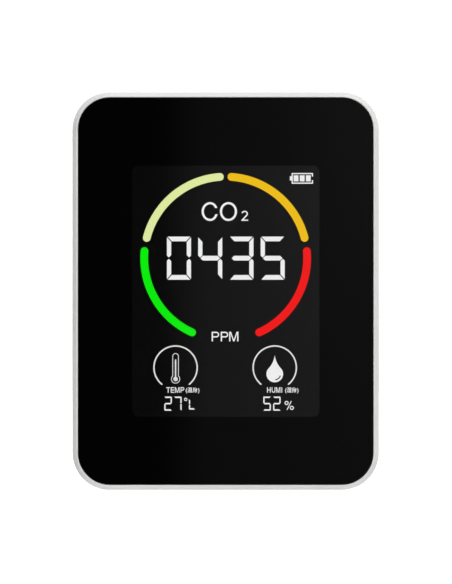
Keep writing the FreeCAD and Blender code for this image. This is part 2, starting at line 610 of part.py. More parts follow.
def lens_mask():
    """Black print on the back of the lens, open over the display."""
    body = new_body("lens_mask")
    print_area = Profile(body, "print", "mask_y")
    print_area.rectangle("0", "middle_z", "lens_width", "lens_height", "lens_radius")
    print_area.rectangle("0", "middle_z", "window_width", "window_height", "window_radius")
    pad(body, print_area, "mask_thickness")


def lens_tape():
    """Ring of double-sided tape between the lens and the plate of the front frame."""
    body = new_body("lens_tape")
    ring = Profile(body, "ring", "tape_y")
    for inset in ("tape_inset", "tape_inset + tape_width"):
        ring.rectangle("0", "middle_z", f"lens_width - 2 * ({inset})", f"lens_height - 2 * ({inset})",
                       f"lens_radius - ({inset})")
    pad(body, ring, "tape_thickness")


# ----------------------------------------------------------------------------------- display stack

def display_layers():
    """Glass, films, diffuser, light guide and reflector, stacked from the front."""
    slab("front_polariser", "film_y", "film_thickness", "film_width", "film_height")
    slab("lcd_top_glass", "top_glass_y", "glass_thickness", "glass_width", "glass_height")
    slab("lcd_bottom_glass", "bottom_glass_y", "glass_thickness", "glass_width", "bottom_glass_height",
         "bottom_glass_z")
    slab("rear_polariser", "rear_film_y", "film_thickness", "film_width", "film_height")
    slab("backlight_diffuser", "diffuser_y", "diffuser_thickness", "guide_width", "bottom_glass_height",
         "bottom_glass_z")
    slab("light_guide", "guide_y", "guide_thickness", "guide_width", "guide_height", "guide_z")
    slab("backlight_reflector", "reflector_y", "reflector_thickness", "guide_width", "guide_height",
         "guide_z")


def backlight_tray():
    """White tray that holds the glass and the backlight, open at the front and notched for the ribbon."""
    body = new_body("backlight_tray")
    outline = Profile(body, "outline", "tray_front_y")
    outline.rectangle("0", "bottom_glass_z", "tray_width", "tray_height")
    pad(body, outline, "tray_back_y - tray_front_y")
    inside = Profile(body, "inside", "tray_front_y")
    inside.rectangle("0", "bottom_glass_z", "tray_inner_width", "tray_inner_height")
    pocket(body, inside, "tray_floor_y - tray_front_y")
    notch = Profile(body, "ribbon_notch", "tray_front_y")
    notch.rectangle("0", "bottom_glass_z - tray_height / 2", "ribbon_width + 2 * notch_margin",
                    "2 * (tray_wall + tray_clearance)")
    pocket(body, notch, "diffuser_y - tray_front_y + 2 * notch_margin")
    low, high = (f"bottom_glass_z {sign} (tray_height / 2 - tray_foot_inset)" for sign in "-+")
    places = corners_of("tray_width / 2 - tray_foot_inset", low, high)
    pad(body, circles(body, "feet", "tray_back_y", places, "tray_foot_radius"), "tray_foot_height")


def backlight_lamps():
    """Row of small lamps on a strip along the light guide's top edge."""
    slab("led_strip", "tray_floor_y - strip_thickness", "strip_thickness", "strip_width", "strip_height",
         "strip_low_z + strip_height / 2")
    body = new_body("backlight_leds")
    lamps = Profile(body, "lamps", "lamp_y")
    for number in range(round(SIZES["led_count"])):
        x = f"({number} - (led_count - 1) / 2) * led_pitch"
        lamps.rectangle(x, "strip_low_z + led_height / 2", "led_width", "led_height")
    pad(body, lamps, "led_thickness")


def display_ribbon():
    """Flexible ribbon from the glass's contact ledge, bent back under the tray and down to the board."""
    body = new_body("display_ribbon")
    y = value("ribbon_middle_y")
    top, bend_z, bend = value("ribbon_top_z"), value("ribbon_bend_z"), value("ribbon_bend")
    run, drop = value("ribbon_run"), value("ribbon_drop")
    spine = Profile(body, "path", "0", "YZ_Plane")
    first = spine.line((y, top), (y, bend_z))
    back = spine.arc((y + bend, bend_z), bend, 180, 270)
    level = spine.line((y + bend, bend_z - bend), (y + bend + run, bend_z - bend))
    down = spine.arc((y + bend + run, bend_z - 2 * bend), bend, 0, 90)
    end_y, end_z = y + 2 * bend + run, bend_z - 2 * bend
    last = spine.line((end_y, end_z), (end_y, end_z - drop))
    spine.join("Tangent", (first, 2, back, 1), (back, 2, level, 1), (level, 2, down, 2), (down, 1, last, 1))
    spine.join("Vertical", (first,), (last,))
    spine.join("Horizontal", (level,))
    spine.join("Equal", (back, down))
    spine.hold("Radius", (back,), "ribbon_bend")
    spine.hold("DistanceY", (first, 2, first, 1), "ribbon_top_z - ribbon_bend_z")
    spine.hold("DistanceX", (level, 1, level, 2), "ribbon_run")
    spine.hold("DistanceY", (last, 2, last, 1), "ribbon_drop")
    spine.place(first, 1, "ribbon_middle_y", "ribbon_top_z")
    section = Profile(body, "section", "ribbon_top_z", "XY_Plane")
    section.rectangle("0", "ribbon_middle_y", "ribbon_width", "ribbon_thickness")
    swept(body, spine, section)


# ----------------------------------------------------------------------------------------- readout

def shown(label):
    """A body for something the display shows, as thin material on the front of its polariser."""
    body = new_body(label)

    def draw(name, outline, *sizes):
        profile = Profile(body, name, "film_y")
        getattr(profile, outline)(*sizes)
        return pad(body, profile, "ink_thickness", "front")

    return body, draw


def gauge_ring():
    """Four coloured arcs, green at the lower left and then clockwise to red at the lower right."""
    spans = {
        "red": ("ring_foot_angle - 90", "ring_low_angle"),
        "amber": ("ring_high_angle", "90 - ring_top_angle"),
        "lime": ("90 + ring_top_angle", "180 - ring_high_angle"),
        "green": ("180 - ring_low_angle", "270 - ring_foot_angle"),
    }
    for colour, span in spans.items():
        _, draw = shown(f"ring_segment_{colour}")
        draw("arc", "arc_slot", "0", "ring_z", "ring_radius", "ring_width", *span)


def segment_outlines(width, height, upright, bar, gap):
    """Outlines of the seven strokes of a digit whose lower left corner is at 0, 0.

    They are mitred at 45 degrees, and at half height they come to points that miss each other by the gap.
    """
    middle, mitre, tip = height / 2, gap * math.sqrt(0.5), upright * value("tip_share")
    bar_tip = tip + mitre / 2
    shoulder = bar_tip + bar / 2
    top_bar = [(mitre, height), (width - mitre, height), (width - upright - mitre, height - bar),
               (upright + mitre, height - bar)]
    middle_bar = [(bar_tip, middle), (shoulder, middle + bar / 2), (width - shoulder, middle + bar / 2),
                  (width - bar_tip, middle), (width - shoulder, middle - bar / 2),
                  (shoulder, middle - bar / 2)]
    upper_left = [(0, height - mitre), (upright, height - bar - mitre),
                  (upright, middle + mitre + upright - tip), (tip, middle + mitre),
                  (0, middle + mitre + tip)]

    def across(outline):
        return [(width - x, z) for x, z in outline]

    def down(outline):
        return [(x, height - z) for x, z in outline]

    return {
        "top": top_bar, "middle": middle_bar, "bottom": down(top_bar),
        "upper_left": upper_left, "lower_left": down(upper_left),
        "upper_right": across(upper_left), "lower_right": across(down(upper_left)),
    }


LIT = {
    "0": ("top", "bottom", "upper_left", "lower_left", "upper_right", "lower_right"),
    "2": ("top", "upper_right", "middle", "lower_left", "bottom"),
    "3": ("top", "upper_right", "middle", "lower_right", "bottom"),
    "4": ("upper_left", "upper_right", "middle", "lower_right"),
    "5": ("top", "upper_left", "middle", "lower_right", "bottom"),
    "7": ("top", "upper_right", "lower_right"),
    "C": ("upper_left", "lower_left", "bottom"),
}


def digits(text, centre_x, centre_z, width, height, pitch, upright, bar, gap):
    """Thin solids for a row of segment digits about a centre."""
    outlines = segment_outlines(width, height, upright, bar, gap)
    left = centre_x - (len(text) - 1) * pitch / 2 - width / 2
    front = FreeCAD.Vector(0, -value("ink_thickness"), 0)
    solids = []
    for place, character in enumerate(text):
        for part in LIT[character]:
            corners = [
                FreeCAD.Vector(left + place * pitch + x, value("film_y"), centre_z - height / 2 + z)
                for x, z in outlines[part]
            ]
            solids.append(Part.Face(Part.makePolygon(corners + corners[:1])).extrude(front))
    return solids


def digit_node(label, *rows):
    """One node for rows of digits, each given as its text and then names or expressions for its sizes."""
    feature = document.addObject("Part::Feature", label)
    feature.Label = label
    solids = [solid for text, *sizes in rows for solid in digits(text, *(value(size) for size in sizes))]
    feature.Shape = Part.makeCompound(solids)


def number_rows():
    """Carbon dioxide reading, temperature with its unit, and humidity."""
    small = ("small_digit_width", "small_digit_height", "small_digit_pitch", "small_upright_width",
             "small_bar_thickness", "small_segment_gap")
    digit_node("main_digits", ("0435", "digit_x", "ring_z", "digit_width", "digit_height", "digit_pitch",
                               "upright_width", "bar_thickness", "segment_gap"))
    digit_node("temperature_digits", ("27", "temperature_x", "small_digit_z", *small),
               ("C", "unit_x", "unit_z", "unit_width", "unit_height", "0", *small[3:]))
    digit_node("humidity_digits", ("52", "humidity_x", "small_digit_z", *small))


def ring_outline(profile, x, z, radius, width):
    """A ring of a given stroke width."""
    profile.circle(x, z, f"{radius} + ({width}) / 2")
    profile.circle(x, z, f"{radius} - ({width}) / 2")


def unit_marks():
    """Degree ring, and the two rings and slash of the percent sign."""
    body, draw = shown("unit_marks")
    rings = Profile(body, "rings", "film_y")
    ring_outline(rings, "degree_x", "degree_z", "degree_radius", "degree_stroke")
    for sign in ("+", "-"):
        ring_outline(rings, f"percent_x {sign} percent_reach", f"percent_z - ({sign}percent_rise)",
                     "percent_radius", "percent_stroke")
    pad(body, rings, "ink_thickness", "front")
    low, high = "percent_z - slash_rise", "percent_z + slash_rise"
    draw("slash", "polygon", ("percent_x - slash_reach - percent_stroke / 2", low),
         ("percent_x - slash_reach + percent_stroke / 2", low),
         ("percent_x + slash_reach + percent_stroke / 2", high),
         ("percent_x + slash_reach - percent_stroke / 2", high))


def dial_rings():
    """Open rings round the thermometer and the drop."""
    body, _ = shown("dial_rings")
    rings = Profile(body, "rings", "film_y")
    for x in ("left_dial_x", "right_dial_x"):
        rings.arc_slot(x, "dial_z", "dial_radius", "dial_stroke", "dial_foot_angle - 90",
                       "270 - dial_foot_angle")
    pad(body, rings, "ink_thickness", "front")


def thermometer_mark():
    """Outline of a bulb thermometer, with its column and filled bulb."""
    body, draw = shown("thermometer_mark")
    x = "left_dial_x"

    def tube(top, foot, width):
        return (x, f"({top} + {foot} - {width} / 2) / 2", f"{top} - {foot} + {width} / 2", width)

    draw("tube", "slot", *tube("tube_top_z", "bulb_z", "tube_width"), True)
    draw("bulb", "circle", x, "bulb_z", "bulb_radius")
    hollow = Profile(body, "hollow", "film_y")
    hollow.slot(*tube("(tube_top_z - tube_stroke)", "bulb_z", "(tube_width - 2 * tube_stroke)"), True)
    pocket(body, hollow, "ink_thickness", "front")
    hollow = Profile(body, "bulb_hollow", "film_y").circle(x, "bulb_z", "bulb_radius - tube_stroke")
    pocket(body, hollow, "ink_thickness", "front")
    draw("column", "slot", *tube("column_top_z", "bulb_z", "column_width"), True)
    draw("column_bulb", "circle", x, "bulb_z", "column_bulb_radius")


def drop_mark():
    """Water drop: a round belly, two hollow flanks that meet at the tip, and a glint cut from the belly."""
    body = new_body("drop_mark")
    outline = Profile(body, "outline", "film_y")
    x, z, belly, tip = (value(name) for name in ("right_dial_x", "drop_z", "drop_radius", "drop_tip"))
    flank = value("drop_flank")
    reach = belly + flank
    rise = (reach ** 2 - flank ** 2 + tip ** 2) / (2 * tip)
    turn = math.degrees(math.acos(rise / reach))
    across = reach * math.sin(math.radians(turn))
    to_tip = math.degrees(math.asin((rise - tip) / flank))
    round_belly = outline.arc((x, z), belly, 90 + turn, 450 - turn)
    right = outline.arc((x + across, z + rise), flank, 180 + to_tip, 270 - turn)
    left = outline.arc((x - across, z + rise), flank, 270 + turn, 360 - to_tip)
    outline.join("Tangent", (round_belly, 2, right, 2), (round_belly, 1, left, 1))
    outline.join("Coincident", (right, 1, left, 2))
    outline.join("Equal", (right, left))
    outline.hold("Radius", (round_belly,), "drop_radius")
    outline.hold("Radius", (right,), "drop_flank")
    outline.place(round_belly, 3, "right_dial_x", "drop_z")
    outline.place(right, 1, "right_dial_x", "drop_z + drop_tip")
    pad(body, outline, "ink_thickness", "front")
    glint = Profile(body, "glint", "film_y")
    glint.arc_slot("right_dial_x", "drop_z", "glint_radius", "glint_width", "glint_from", "glint_to")
    pocket(body, glint, "ink_thickness", "front")


def battery_mark():
    """Battery outline with its nub on the left, a gap in its right wall, and three bars."""
    body, draw = shown("battery_mark")
    shell = Profile(body, "shell", "film_y")
    shell.rectangle("mark_x", "mark_z", "mark_width", "mark_height")
    shell.rectangle("mark_x", "mark_z", "mark_width - 2 * mark_line", "mark_height - 2 * mark_line")
    pad(body, shell, "ink_thickness", "front")
    gap = Profile(body, "gap", "film_y")
    gap.rectangle("mark_x + mark_width / 2", "mark_z", "3 * mark_line", "mark_gap")
    pocket(body, gap, "ink_thickness", "front")
    draw("nub", "rectangle", "mark_x - (mark_width + nub_width - mark_line) / 2", "mark_z",
         "nub_width + mark_line", "nub_height")
    bars = Profile(body, "bars", "film_y")
    for number in range(3):
        bars.rectangle(f"mark_x - mark_width / 2 + charge_start + {number} * charge_pitch", "mark_z",
                       "charge_width", "charge_height")
    pad(body, bars, "ink_thickness", "front")


def readout():
    """Everything the display shows, apart from its printed words."""
    gauge_ring()
    number_rows()
    unit_marks()
    dial_rings()
    thermometer_mark()
    drop_mark()
    battery_mark()


# ------------------------------------------------------------------------------------- electronics

def main_board():
    body = new_body("main_board")
    outline = Profile(body, "outline", "board_y")
    outline.rectangle("0", "middle_z", "board_width", "board_height")
    pad(body, outline, "board_thickness")
    notches = Profile(body, "notches", "board_y")
    for x, z in corners_of("board_width / 2", "board_low_z", "board_low_z + board_height"):
        notches.rectangle(x, z, "2 * board_notch", "2 * board_notch", "board_radius")
    pocket(body, notches, "board_thickness")
    pocket(body, circles(body, "holes", "board_y", BOARD_POSTS, "board_hole_radius"), "board_thickness")


def board_chips():
    """Controller, display driver, charger and coil, each on the back of the main board."""
    body = new_body("board_chips")
    flat = Profile(body, "chips", "board_back_y")
    flat.rectangle("chip_x", "chip_z", "chip_side", "chip_side")
    flat.rectangle("driver_x", "driver_z", "driver_side", "driver_side")
    flat.rectangle("charger_x", "charger_z", "charger_width", "charger_height")
    pad(body, flat, "chip_thickness")
    coil = Profile(body, "coil", "board_back_y")
    coil.rectangle("charger_x", "coil_z", "coil_side", "coil_side", "passive_height")
    pad(body, coil, "coil_height")


def board_passives():
    """Small resistors and capacitors round the controller and charger."""
    body = new_body("board_passives")
    row = Profile(body, "row", "board_back_y")
    for number in range(4):
        for x, z in (("passive_x", "passive_z +"), ("driver_x", "driver_row_z -")):
            row.rectangle(x, f"{z} {number} * passive_pitch", "passive_width", "passive_height")
    pad(body, row, "passive_thickness")


def ribbon_connector():
    """Flat connector on the front of the board that takes the ribbon's end from above."""
    body = slab("ribbon_connector", "board_y - ribbon_plug_thickness", "ribbon_plug_thickness",
                "ribbon_plug_width", "ribbon_plug_height",
                "ribbon_end_z + ribbon_plug_height / 2 - ribbon_plug_base")
    slit = Profile(body, "slit", "ribbon_end_z - ribbon_plug_clearance", "XY_Plane")
    slit.rectangle("0", "ribbon_middle_y + 2 * ribbon_bend + ribbon_run",
                   "ribbon_width + 2 * ribbon_plug_clearance",
                   "ribbon_thickness + 2 * ribbon_plug_clearance")
    pocket(body, slit, "ribbon_plug_height", "up")


def co2_sensor():
    """Infrared gas cell on its own small board, with pin header, two gas ports and their membranes."""
    slab("co2_sensor_board", "sensor_board_y", "sensor_board", "sensor_width", "sensor_height", "sensor_z")
    body = slab("co2_sensor_cell", "sensor_body_y", "sensor_body_depth", "sensor_body_width",
                "sensor_body_height", "sensor_z")
    soften(body, "Fillet", body.Tip, "sensor_fillet", at_y("sensor_body_y + sensor_body_depth"))
    membranes = new_body("co2_sensor_membranes")
    for part, shape in ((body, pocket), (membranes, pad)):
        ports = Profile(part, "ports", "seal_y - membrane_thickness")
        for side in ("-", ""):
            ports.slot(f"{side}sensor_port_x", "sensor_z", "sensor_port_length", "sensor_port_width",
                       upright=True)
        shape(part, ports, "membrane_thickness")
    sensor_header()


def sensor_header():
    """Two rows of pins in their plastic strips, between the main board and the sensor's board."""
    body = new_body("co2_sensor_header")
    strips = Profile(body, "strips", "board_back_y")
    pins = Profile(body, "pins", "board_back_y + header_base")
    for side in ("-", ""):
        x = f"{side}((sensor_width - header_width) / 2)"
        strips.rectangle(x, "sensor_z", "header_width", "header_pins * header_pitch")
        for number in range(round(SIZES["header_pins"])):
            z = f"sensor_z + ({number} - (header_pins - 1) / 2) * header_pitch"
            pins.rectangle(x, z, "header_pin", "header_pin")
    pad(body, strips, "header_base")
    pad(body, pins, "sensor_standoff - header_base")


def sensor_seal():
    """Foam frame that joins the gas cell to the grille, so that it breathes outside air."""
    body = new_body("sensor_seal")
    frame = Profile(body, "frame", "seal_y")
    frame.rectangle("0", "sensor_z", "seal_width", "seal_height")
    frame.rectangle("0", "sensor_z", "seal_width - 2 * seal_wall", "seal_height - 2 * seal_wall")
    pad(body, frame, "mesh_y - seal_y")


def climate_sensor():
    """Temperature and humidity chip on a small carrier beside the side slots."""
    body = new_body("climate_sensor")
    base = Profile(body, "carrier", "board_back_y")
    base.rectangle("climate_x", "climate_z", "climate_side", "climate_side")
    pad(body, base, "climate_thickness")
    chip = Profile(body, "chip", "board_back_y + climate_thickness")
    chip.rectangle("climate_x", "climate_z", "climate_cap_side", "climate_cap_side")
    pad(body, chip, "climate_cap")


def battery():
    """Flat lithium cell on foam, its plug on the board, and the two leads between them."""
    cell = slab("battery_cell", "cell_y", "cell_thickness", "cell_width", "cell_height", "cell_z",
                "cell_radius", "cell_x")
    soften(cell, "Fillet", cell.Tip, "cell_edge", at_y("cell_y + cell_thickness"))
    slab("battery_foam", "board_back_y", "foam_thickness", "cell_width - foam_margin",
         "cell_height - foam_margin", "cell_z", centre_x="cell_x")
    slab("battery_plug", "board_back_y", "plug_thickness", "plug_width", "plug_height", "plug_z",
         centre_x="plug_x + plug_width / 2")
    for colour in ("red", "black"):
        battery_lead(f"battery_lead_{colour}", f"{colour}_lead_x", f"{colour}_lead_z")


def battery_lead(label, start_x, run_z):
    """A lead that leaves the cell upwards, bends to the right and runs level into the plug."""
    body = new_body(label)
    spine = Profile(body, "path", "board_back_y + lead_y")
    x, z, bend = value(start_x), value(run_z), value("lead_bend")
    rise = spine.line((x, value("cell_top_z")), (x, z - bend))
    turn = spine.arc((x + bend, z - bend), bend, 90, 180)
    level = spine.line((x + bend, z), (value("plug_x"), z))
    spine.join("Tangent", (rise, 2, turn, 2), (turn, 1, level, 1))
    spine.join("Vertical", (rise,))
    spine.join("Horizontal", (level,))
    spine.hold("Radius", (turn,), "lead_bend")
    spine.place(rise, 1, start_x, "cell_top_z")
    spine.place(level, 2, "plug_x", run_z)
    section = Profile(body, "section", "cell_top_z", "XY_Plane")
    section.circle(start_x, "board_back_y + lead_y", "lead_radius")
    swept(body, spine, section)


def buzzer():
    body = new_body("buzzer")
    can = Profile(body, "can", "board_back_y").circle("buzzer_x", "buzzer_z", "buzzer_radius")
    pad(body, can, "buzzer_height")
    port = Profile(body, "port", "board_back_y + buzzer_height")
    port.circle("buzzer_x", "buzzer_z", "buzzer_port")
    pocket(body, port, "buzzer_height / 2", "front")


def charge_socket():
    """Charging socket on the board's left edge: folded steel shell and the blade inside it."""
    shell = new_body("charge_socket_shell")
    tube = Profile(shell, "tube", "socket_mouth_x", "YZ_Plane")
    tube.slot("socket_y", "socket_z", "socket_width", "socket_height", upright=True)
    pad(shell, tube, "socket_length", "right")
    inside = Profile(shell, "inside", "socket_mouth_x", "YZ_Plane")
    inside.slot("socket_y", "socket_z", "socket_width - 2 * socket_sheet",
                "socket_height - 2 * socket_sheet", upright=True)
    pocket(shell, inside, "socket_length - socket_sheet", "right")

    tongue = new_body("charge_socket_blade")
    blade = Profile(tongue, "blade", "socket_mouth_x + blade_setback", "YZ_Plane")
    blade.rectangle("socket_y", "socket_z", "blade_thickness", "blade_width")
    pad(tongue, blade, "socket_back_x - socket_mouth_x - blade_setback", "right")
    root = Profile(tongue, "root", "socket_back_x - blade_root", "YZ_Plane")
    root.rectangle("socket_y", "socket_z", "socket_height - 3 * socket_sheet", "blade_width")
    pad(tongue, root, "blade_root", "right")


# ----------------------------------------------------------------------------------- moving pieces

def power_button():
    """Button cap in the right side wall, with a flange behind the wall and a stem that meets the switch."""
    body = new_body("power_button")
    block = pad(body, button_outline(body, "cap", "button_face_x", "0"), "button_face_x - flange_x", "left")
    face = value("button_face_x")
    soften(body, "Fillet", block, "button_round", lambda edge: edge.BoundBox.XMin > face - TOLERANCE)
    flange = button_outline(body, "flange", "inner_side_x", "flange_margin")
    pad(body, flange, "flange_thickness", "left")
    stem = Profile(body, "stem", "flange_x", "YZ_Plane").circle("button_y", "button_z", "stem_radius")
    pad(body, stem, "stem_length", "left")


def power_switch():
    """Side-acting switch on the board: a body on two legs and the plunger that the button pushes."""
    body = new_body("power_switch_body")
    case = Profile(body, "case", "switch_face_x", "YZ_Plane")
    case.rectangle("button_y", "button_z", "switch_side", "switch_side")
    pad(body, case, "switch_length", "left")
    legs = Profile(body, "legs", "board_back_y")
    for side in ("-", ""):
        z = f"button_z + {side}((switch_side - switch_leg) / 2)"
        legs.rectangle("switch_face_x - switch_length / 2", z, "switch_length", "switch_leg")
    pad(body, legs, "button_y - switch_side / 2 - board_back_y")
    bore = Profile(body, "bore", "switch_face_x", "YZ_Plane")
    bore.circle("button_y", "button_z", "plunger_radius + plunger_clearance")
    pocket(body, bore, "plunger_bore_depth", "left")
    plunger = new_body("power_switch_plunger")
    rod = Profile(plunger, "rod", "stem_x", "YZ_Plane").circle("button_y", "button_z", "plunger_radius")
    pad(plunger, rod, "plunger_length", "left")


def stand():
    """Fold-out stand: plate with a hinge barrel, a stop along its top and a ribbed inner side."""
    body = new_body("stand")
    foot = Profile(body, "foot", "stand_front_y")
    foot.rectangle("0", "(stand_low_z + hinge_z) / 2", "stand_width", "hinge_z - stand_low_z",
                   "stand_radius")
    pad(body, foot, "stand_thickness")
    head = Profile(body, "head", "stand_front_y")
    head.rectangle("0", "hinge_z * 3 / 4", "stand_width", "hinge_z / 2")
    pad(body, head, "stand_thickness")
    barrel = Profile(body, "barrel", "0", "YZ_Plane").circle("hinge_y", "hinge_z", "barrel_radius")
    pad(body, barrel, "stand_width", "both")
    stop = Profile(body, "stop", "hinge_y - stop_offset")
    stop.rectangle("0", "hinge_z + stop_rise / 2", "stand_width", "stop_rise")
    pad(body, stop, "stand_back_y - hinge_y + stop_offset")
    bore = Profile(body, "bore", "-stand_width / 2 - overshoot", "YZ_Plane")
    bore.circle("hinge_y", "hinge_z", "pin_radius + pin_clearance")
    pocket(body, bore, None, "right")

    panels = Profile(body, "panels", "stand_front_y")
    panel_width = "((stand_width - 2 * stand_border - 2 * stand_rib) / 3)"
    panel_height = "stand_reach - 3 * stand_border"
    for column in (-1, 0, 1):
        panels.rectangle(f"{column} * ({panel_width} + stand_rib)",
                         f"stand_low_z + stand_border + ({panel_height}) / 2", panel_width, panel_height,
                         "stand_rib / 2")
    pocket(body, panels, "stand_pocket_depth")
    seat = Profile(body, "grip_seat", "stand_low_z", "XY_Plane")
    seat.rectangle("0", "(stand_front_y + stand_back_y) / 2", "grip_width", "grip_depth")
    pocket(body, seat, "grip_thickness - grip_proud", "up")


def stand_fittings():
    """Steel hinge pin through both walls of the well, and the rubber grip in the stand's free end."""
    pin = new_body("stand_hinge_pin")
    rod = Profile(pin, "rod", "0", "YZ_Plane").circle("hinge_y", "hinge_z", "pin_radius")
    pad(pin, rod, "pin_length", "both")
    grip = new_body("stand_grip")
    strip = Profile(grip, "strip", "stand_low_z - grip_proud", "XY_Plane")
    strip.rectangle("0", "(stand_front_y + stand_back_y) / 2", "grip_width", "grip_depth")
    pad(grip, strip, "grip_thickness", "up")


# --------------------------------------------------------------------------------------- fasteners

def screws(label, places, seat, kind):
    """Four cross-head screws in one node, driven from the back towards the front."""
    body = new_body(label)
    head = f"{kind}_head"
    crown = f"{seat} + {head}_height"
    top = pad(body, circles(body, "heads", seat, places, f"{head}_radius"), f"{head}_height")
    soften(body, "Fillet", top, f"{head}_height / 3", at_y(crown))
    pad(body, circles(body, "shanks", seat, places, f"{kind}_radius"), f"{kind}_length", "front")
    span = f"{head}_cross"
    for name, wide, tall in (("across", span, "cross_slot"), ("upright", "cross_slot", span)):
        cross = Profile(body, name, crown)
        for x, z in places:
            cross.rectangle(x, z, wide, tall)
        pocket(body, cross, f"{head}_height * cross_share", "front")


def fasteners():
    """Screws that close the case, and the shorter ones that hold the main board."""
    screws("case_screws", CASE_POSTS, "screw_seat_y", "screw")
    screws("board_screws", BOARD_POSTS, "board_back_y", "board_screw")


def build():
    front_frame()
    rear_cover()
    front_lens()
    lens_mask()
    lens_tape()
    display_layers()
    backlight_tray()
    backlight_lamps()
    display_ribbon()
    readout()
    main_board()
    board_chips()
    board_passives()
    ribbon_connector()
    co2_sensor()
    sensor_seal()
    slab("vent_mesh", "mesh_y", "mesh_thickness", "mesh_width", "mesh_height", "mesh_z")
    climate_sensor()
    battery()
    buzzer()
    charge_socket()
    power_button()
    power_switch()
    stand()
    stand_fittings()
    fasteners()
    document.recompute()


def check():
    """Stops if any object failed, or if a pad added nothing or a cut removed nothing."""
    for item in document.Objects:
        if "Invalid" in item.State or "Error" in item.State:
            raise RuntimeError(f"{item.Name} ({item.Label}) is {item.State}")
    for features, sign in ((grown, 1), (cut, -1)):
        for feature in features:
            base = feature.BaseFeature
            before = base.Shape.Volume if base else 0.0
            if sign * (feature.Shape.Volume - before) <= TOLERANCE:
                raise RuntimeError(f"{feature.Name} changed nothing")


def sub_parts():
    """Every object that is a piece of the assembly."""
    kinds = ("PartDesign::Body", "Part::Feature")
    return [item for item in document.Objects if item.TypeId in kinds]


def export():
    os.makedirs("parts", exist_ok=True)
    for item in sub_parts():
        shape = item.Shape
        if shape.isNull() or not shape.isValid() or not shape.Solids:
            raise RuntimeError(f"{item.Label} has no valid solid")
        shape.exportStep(f"parts/{item.Label}.step")
        print(f"{item.Label}: {len(shape.Solids)} solid(s), {shape.Volume:.1f} mm3")


build()
check()
export()
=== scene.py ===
"""Looks, printed words, studio and camera of the carbon dioxide monitor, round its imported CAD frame.

The monitor stands on z = 0 and faces -Y. Lengths are in metres, and MM turns millimetres into them.
"""

import math

import bmesh
import bpy
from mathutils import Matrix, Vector


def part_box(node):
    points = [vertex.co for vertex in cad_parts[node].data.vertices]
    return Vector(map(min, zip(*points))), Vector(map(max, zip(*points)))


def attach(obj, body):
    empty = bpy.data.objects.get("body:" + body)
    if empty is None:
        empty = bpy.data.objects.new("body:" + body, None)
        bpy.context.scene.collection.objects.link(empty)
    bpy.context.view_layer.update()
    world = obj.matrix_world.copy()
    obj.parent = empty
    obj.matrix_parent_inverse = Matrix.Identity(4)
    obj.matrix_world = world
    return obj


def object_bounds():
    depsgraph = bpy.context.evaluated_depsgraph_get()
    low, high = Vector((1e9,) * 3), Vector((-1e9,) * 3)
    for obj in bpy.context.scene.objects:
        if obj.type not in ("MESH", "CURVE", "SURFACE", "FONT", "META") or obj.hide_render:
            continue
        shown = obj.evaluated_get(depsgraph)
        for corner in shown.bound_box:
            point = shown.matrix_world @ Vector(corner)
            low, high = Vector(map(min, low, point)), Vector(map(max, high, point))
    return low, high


MM = 0.001

X_AXIS, Y_AXIS, Z_AXIS = 0, 1, 2


# ---------------------------------------------------------------- colour

def linear(shown):
    """The linear value of one 0 to 255 display value."""
    share = shown / 255
    return share / 12.92 if share <= 0.04045 else ((share + 0.055) / 1.055) ** 2.4


def tone(red, green, blue):
    """A colour given by the 0 to 255 values it shows as."""
    return (linear(red), linear(green), linear(blue), 1.0)


def shade(colour, share):
    """The same colour with a share of its light."""
    return tuple(channel * share for channel in colour[:3]) + (1.0,)


SHELL = tone(238, 238, 237)
BUTTON = tone(233, 233, 232)
RUBBER = tone(92, 94, 97)
PRINT = tone(7, 7, 8)
TAPE = tone(16, 16, 17)
POLARISER = tone(3, 3, 3)
CLEAR = (0.978, 0.98, 0.98, 1.0)
GLASS_TINT = (0.93, 0.97, 0.95, 1.0)
FILM_WHITE = tone(240, 241, 242)
SILVER = tone(214, 216, 218)
SOLDER_MASK = tone(22, 96, 58)
MASKED_COPPER = tone(52, 140, 84)
GOLD = tone(226, 182, 96)
COPPER = tone(206, 132, 82)
POLYIMIDE = tone(196, 118, 34)
IVORY = tone(226, 218, 198)
EPOXY = tone(30, 30, 32)
CERAMIC = tone(172, 138, 100)
PHOSPHOR = tone(236, 206, 92)
MEMBRANE = tone(232, 232, 228)
FOAM = tone(28, 28, 30)
NYLON = tone(24, 24, 26)
POUCH = tone(186, 190, 196)
RED_SILICONE = tone(176, 24, 22)
BLACK_SILICONE = tone(22, 22, 24)
NICKEL = tone(196, 194, 188)
STEEL = tone(178, 180, 184)
ZINC = tone(190, 193, 200)
# grey of the painted shade in the corners of moulded plastic
CORNER_SHADE = tone(150, 148, 144)

LIT_WHITE = tone(238, 238, 238)
LIT_GREY = tone(224, 224, 224)
LIT_GREEN = tone(7, 235, 7)
LIT_LIME = tone(222, 234, 159)
LIT_AMBER = tone(237, 189, 14)
LIT_RED = tone(238, 14, 13)
# colour of the polariser's glow, partly painted light
LEAK_AND_PAINTED_GLOW = tone(252, 252, 255)


# ---------------------------------------------------------------- materials

ACRYLIC_IOR = 1.49
GLASS_IOR = 1.52
SHELL_IOR = 1.53

# nearly all values of a noise texture lie between these
NOISE_LOW, NOISE_HIGH = 0.3, 0.7

# radii that the render gives to sharp edges
SOFT_EDGE = 0.12 * MM
FINE_EDGE = 0.08 * MM
RUBBER_EDGE = 0.2 * MM
# cosine between the true and the rounded normal where an edge begins and where it is full
EDGE_BEGINS, EDGE_FULL = 0.995, 0.8
# roughness that an edge polished by use loses, and how far the painted shade in corners reaches out of
# a corner
EDGE_POLISH = 0.08
CORNER_SHADE_REACH = 1.4 * MM

# the polariser's glow, partly the backlight's leak and partly painted light in place of lamplight that
# the film would reflect: its level, its share at the left, and where it grows
PAINTED_GLOW_LEVEL = 0.0026
PAINTED_GLOW_LEFT = 0.26
PAINTED_GLOW_START, PAINTED_GLOW_END = -20 * MM, 30 * MM
# a lit segment: the share of its colour that it reflects, and the faint sheen it shares with the film
LIT_BASE = 0.01
COUPLED = 0.04
# share of a segment's light that the lens lets out
LENS_PASSES = 0.92

